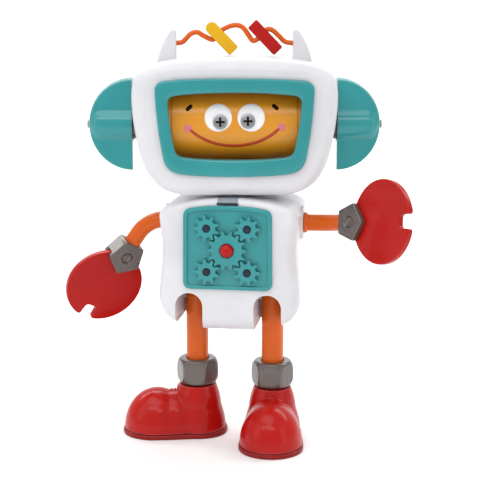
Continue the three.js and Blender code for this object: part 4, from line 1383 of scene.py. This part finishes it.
def ankle_body():
    """A six-sided nut whose ends are rounded towards a smaller circle."""
    sides = 144
    middle, half = (ANKLE_LOW + ANKLE_HIGH) / 2, (ANKLE_HIGH - ANKLE_LOW) / 2
    around = circle(sides)
    hexagon = [polygon_radius(2 * math.pi * j / sides, 6, ANKLE_FLAT, 34) for j in range(sides)]
    rings = []
    heights = [44, 44.3, 45, 46, 47.2, 48.6, 50.2, 52, 54, 56, 58, 60, 61.8, 63, 64, 65, 65.7, 66]
    for z in heights:
        end = abs(z - middle) / half
        barrel = 14.0 + 4.6 * (1 - end**2.2) ** 0.55
        radii = [float(smooth_min(np.array(radius), np.array(barrel), 0.9)) for radius in hexagon]
        rings.append([(radius * c, radius * s, z) for radius, (c, s) in zip(radii, around)])
    bore = [(13.6, ANKLE_HIGH), (10.6, ANKLE_HIGH), (9.9, 65.4), (9.8, 64)]
    bore += [(9.8, 46), (9.9, 44.6), (10.6, ANKLE_LOW), (13.6, ANKLE_LOW)]
    for radius, z in bore:
        rings.append([(radius * c, radius * s, z) for c, s in around])
    return loft(rings, closed=True)


def blob(y, z, rx, ry, rz):
    """An ellipsoid on the plane X = 0."""
    rings = 28
    points = [(math.sin(math.pi * i / rings), -math.cos(math.pi * i / rings)) for i in range(rings + 1)]
    points[0], points[-1] = (0, -1), (0, 1)
    return moved(turned(points, 56), move(0, y, z) @ Matrix.Diagonal((rx, ry, rz, 1)))


def boot_body():
    """A shaft and a toe blended into one, flat on top and underneath, with a socket for the leg."""
    heel = [(0, -4), (23.4, -4), (24.2, 6), (23.4, 13), (21.6, 20), (20.4, 24), (19.8, 29)]
    ankle = [(18.6, 35), (16.6, 41), (15, 45), (14.4, 48), (0, 48)]
    body = union(
        turned(heel + ankle, 72),
        blob(-35, 5, 26.2, 28.6, 33.4),
        blob(-20, 4, 24.6, 26, 33),
        blob(-31, 0, 26.4, 32.8, 24),
    )
    softened(body, 0.6, 14)
    cut(body, cuboid(-60, 60, -90, 60, -60, 4.3), cuboid(-60, 60, -90, 60, 43, 60))
    return cut(body, rod(11, 0, 31, 48), rod(6.3, 0, 44, 40))


def lace_bars(boot):
    """Raised lace bars that follow the front of the ankle."""
    work = bmesh.new()
    work.from_mesh(boot.data)
    tree = BVHTree.FromBMesh(work)
    bars = []
    aim = Vector((0, 1, -0.9)).normalized()
    for half, z0, z1 in ((5.2, 40.4, 36.8), (-5.2, 40.4, 36.8), (3.4, 33.6, 33.6), (2.6, 30.6, 30.6)):
        path = []
        for i in range(13):
            t = i / 12
            x, z = -half + 2 * half * t, z0 + (z1 - z0) * t
            start = Vector((x, -16, z)) - aim * 40
            hit = tree.ray_cast(start, aim)[0]
            if hit is None:
                continue
            path.append(np.array(hit) + np.array([0, -0.1, 0.1]))
        if len(path) < 5:
            continue
        bars.append(bar_along(np.array(path), 0.75))
    work.free()
    return joined("lace_bars", bars)


def bar_along(path, radius):
    """A thin round-ended bar along any path."""
    rings = []
    count = len(path)
    for i, (point, direction) in enumerate(zip(path, directions(path))):
        first = np.cross(direction, [0.0, 0.0, 1.0])
        first /= np.linalg.norm(first)
        second = np.cross(direction, first)
        end = min(i, count - 1 - i)
        width = radius * (0.35, 0.8, 1.0)[min(end, 2)]
        rings.append([point + width * (c * first + s * second) for c, s in circle(14)])
    return loft(rings)


def sole_body():
    """A flat plate, wider at the toe than at the heel."""
    half, heel_half = 28.0, 26.0
    toe_middle = 64 - half + 1.4
    outline = mirrored_outline(
        -26.6,
        [
            [(heel_half * 0.6, -26.6), (heel_half, -heel_half * 0.6), (heel_half, 0)],
            [(heel_half, 12), (half, 20), (half, toe_middle)],
            [(half, toe_middle + half * 0.56), (half * 0.56, 65.6), (0, 65.6)],
        ],
        200,
    )
    plate = slab(inset(outline, 0.85), 0, 4, 0.7, 1.5, 4, 0.3)
    return moved(plate, turn(90, "X"))


def add_leg(word, side):
    leg = TORSO @ move(side * HIP_X, 0, 0)
    boot = leg @ turn(BOOT_YAW[word], "Z")
    shin, foot = f"{word}_leg", f"{word}_foot"
    stand_in(f"{word}_leg_tube", "moulded", leg_body(), leg, shin, "orange_plastic", angle=50)
    stand_in(f"{word}_ankle_nut", "moulded", ankle_body(), leg, shin, "grey_nut", angle=60)
    ring = soft_ring(6.3, 10, 27, 30)
    stand_in(f"{word}_ankle_retainer", "moulded", ring, leg, shin, "dark_plastic")
    upper = boot_body()
    laces = lace_bars(upper)
    stand_in(f"{word}_boot_upper", "moulded", upper, boot, foot, "red_plastic", 0.7)
    place(f"{word}_boot_laces", laces, boot, foot, "red_plastic")
    stand_in(f"{word}_boot_sole", "moulded", sole_body(), boot, foot, "red_plastic", material=SOLE_RED)


# ---- Studio ----


def add_floor():
    """A pale floor that curves up into a backdrop far behind the robot."""
    depth, rise, radius, half = 6.0, 5.0, 1.5, 8.0
    profile = [(-6.0, 0.0), (depth - radius, 0.0)]
    for i in range(1, 17):
        a = math.pi / 2 * i / 16
        profile.append((depth - radius + radius * math.sin(a), radius * (1 - math.cos(a))))
    profile.append((depth, rise))
    vertices = [(x, y, z) for y, z in profile for x in (-half, half)]
    faces = [(2 * i, 2 * i + 1, 2 * i + 3, 2 * i + 2) for i in range(len(profile) - 1)]
    floor = new_object("studio_floor", vertices, faces)
    floor.data.polygons.foreach_set("use_smooth", [True] * len(floor.data.polygons))
    material, tree, shader = node_tree("studio_paper")
    coordinates = tree.nodes.new("ShaderNodeTexCoord").outputs["Object"]
    tone = noise(tree, coordinates, 3.0, 2.0)
    colour = ramp(tree, tone, 0.3, 0.7, (0.9, 0.9, 0.9), (0.93, 0.93, 0.93))
    tree.links.new(colour, shader.inputs["Base Color"])
    shader.inputs["Roughness"].default_value = 0.9
    floor.data.materials.append(material)


def area_light(name, place_at, aim, size, power):
    data = bpy.data.lights.new(name, "AREA")
    data.shape = "RECTANGLE"
    data.size, data.size_y = size
    data.energy = power
    lamp = bpy.data.objects.new(name, data)
    lamp.location = place_at
    lamp.rotation_mode = "QUATERNION"
    lamp.rotation_quaternion = (Vector(aim) - Vector(place_at)).to_track_quat("-Z", "Y")
    bpy.context.scene.collection.objects.link(lamp)


def add_lights():
    world = bpy.data.worlds.new("studio")
    bpy.context.scene.world = world
    world.use_nodes = True
    background = world.node_tree.nodes["Background"]
    background.inputs["Color"].default_value = (1, 1, 1, 1)
    background.inputs["Strength"].default_value = 0.66
    target = (0, 0, 0.19)
    area_light("top_softbox", (-0.25, -0.5, 1.5), target, (1.3, 0.9), 6.5)
    area_light("front_softbox", (-0.1, -1.0, 1.05), (0, 0, 0.25), (1.3, 0.25), 3)
    area_light("left_softbox", (-1.3, -0.9, 0.8), target, (0.8, 1.2), 2.6)
    area_light("right_softbox", (1.4, -0.7, 0.6), target, (0.7, 1.2), 2)
    area_light("backdrop_strip", (0.0, 1.6, 2.6), (0, 3.2, 0.0), (7.0, 1.6), 190)


def add_camera():
    bearing, pitch, pan = math.radians(8.46), math.radians(10.738), math.radians(0.25)
    distance, height = 1011.18, 360.94
    origin = TORSO.translation
    data = bpy.data.cameras.new("camera")
    data.lens = 91.49
    data.sensor_width = 36
    data.clip_start, data.clip_end = 0.05, 50
    camera = bpy.data.objects.new("camera", data)
    camera.location = (
        (origin.x + distance * math.sin(bearing)) * MM,
        (origin.y - distance * math.cos(bearing)) * MM,
        height * MM,
    )
    aim = bearing - pan
    forward = Vector(
        (-math.sin(aim) * math.cos(pitch), math.cos(aim) * math.cos(pitch), -math.sin(pitch))
    )
    camera.rotation_mode = "QUATERNION"
    camera.rotation_quaternion = forward.to_track_quat("-Z", "Y")
    bpy.context.scene.collection.objects.link(camera)
    bpy.context.scene.camera = camera


add_camera()
add_lights()
add_floor()
add_head_shells()
add_bezel()
add_drum()
add_ears()
add_antenna()
add_screws("head", "head", HEAD, HEAD_SCREWS)
add_torso_shells()
add_panel()
add_gears()
add_neck()
add_screws("torso", "torso", TORSO, TORSO_SCREWS)
for word, side in SIDES:
    add_arm(word, side)
for word, side in SIDES:
    add_leg(word, side)
bpy.context.scene.view_settings.view_transform = "Standard"
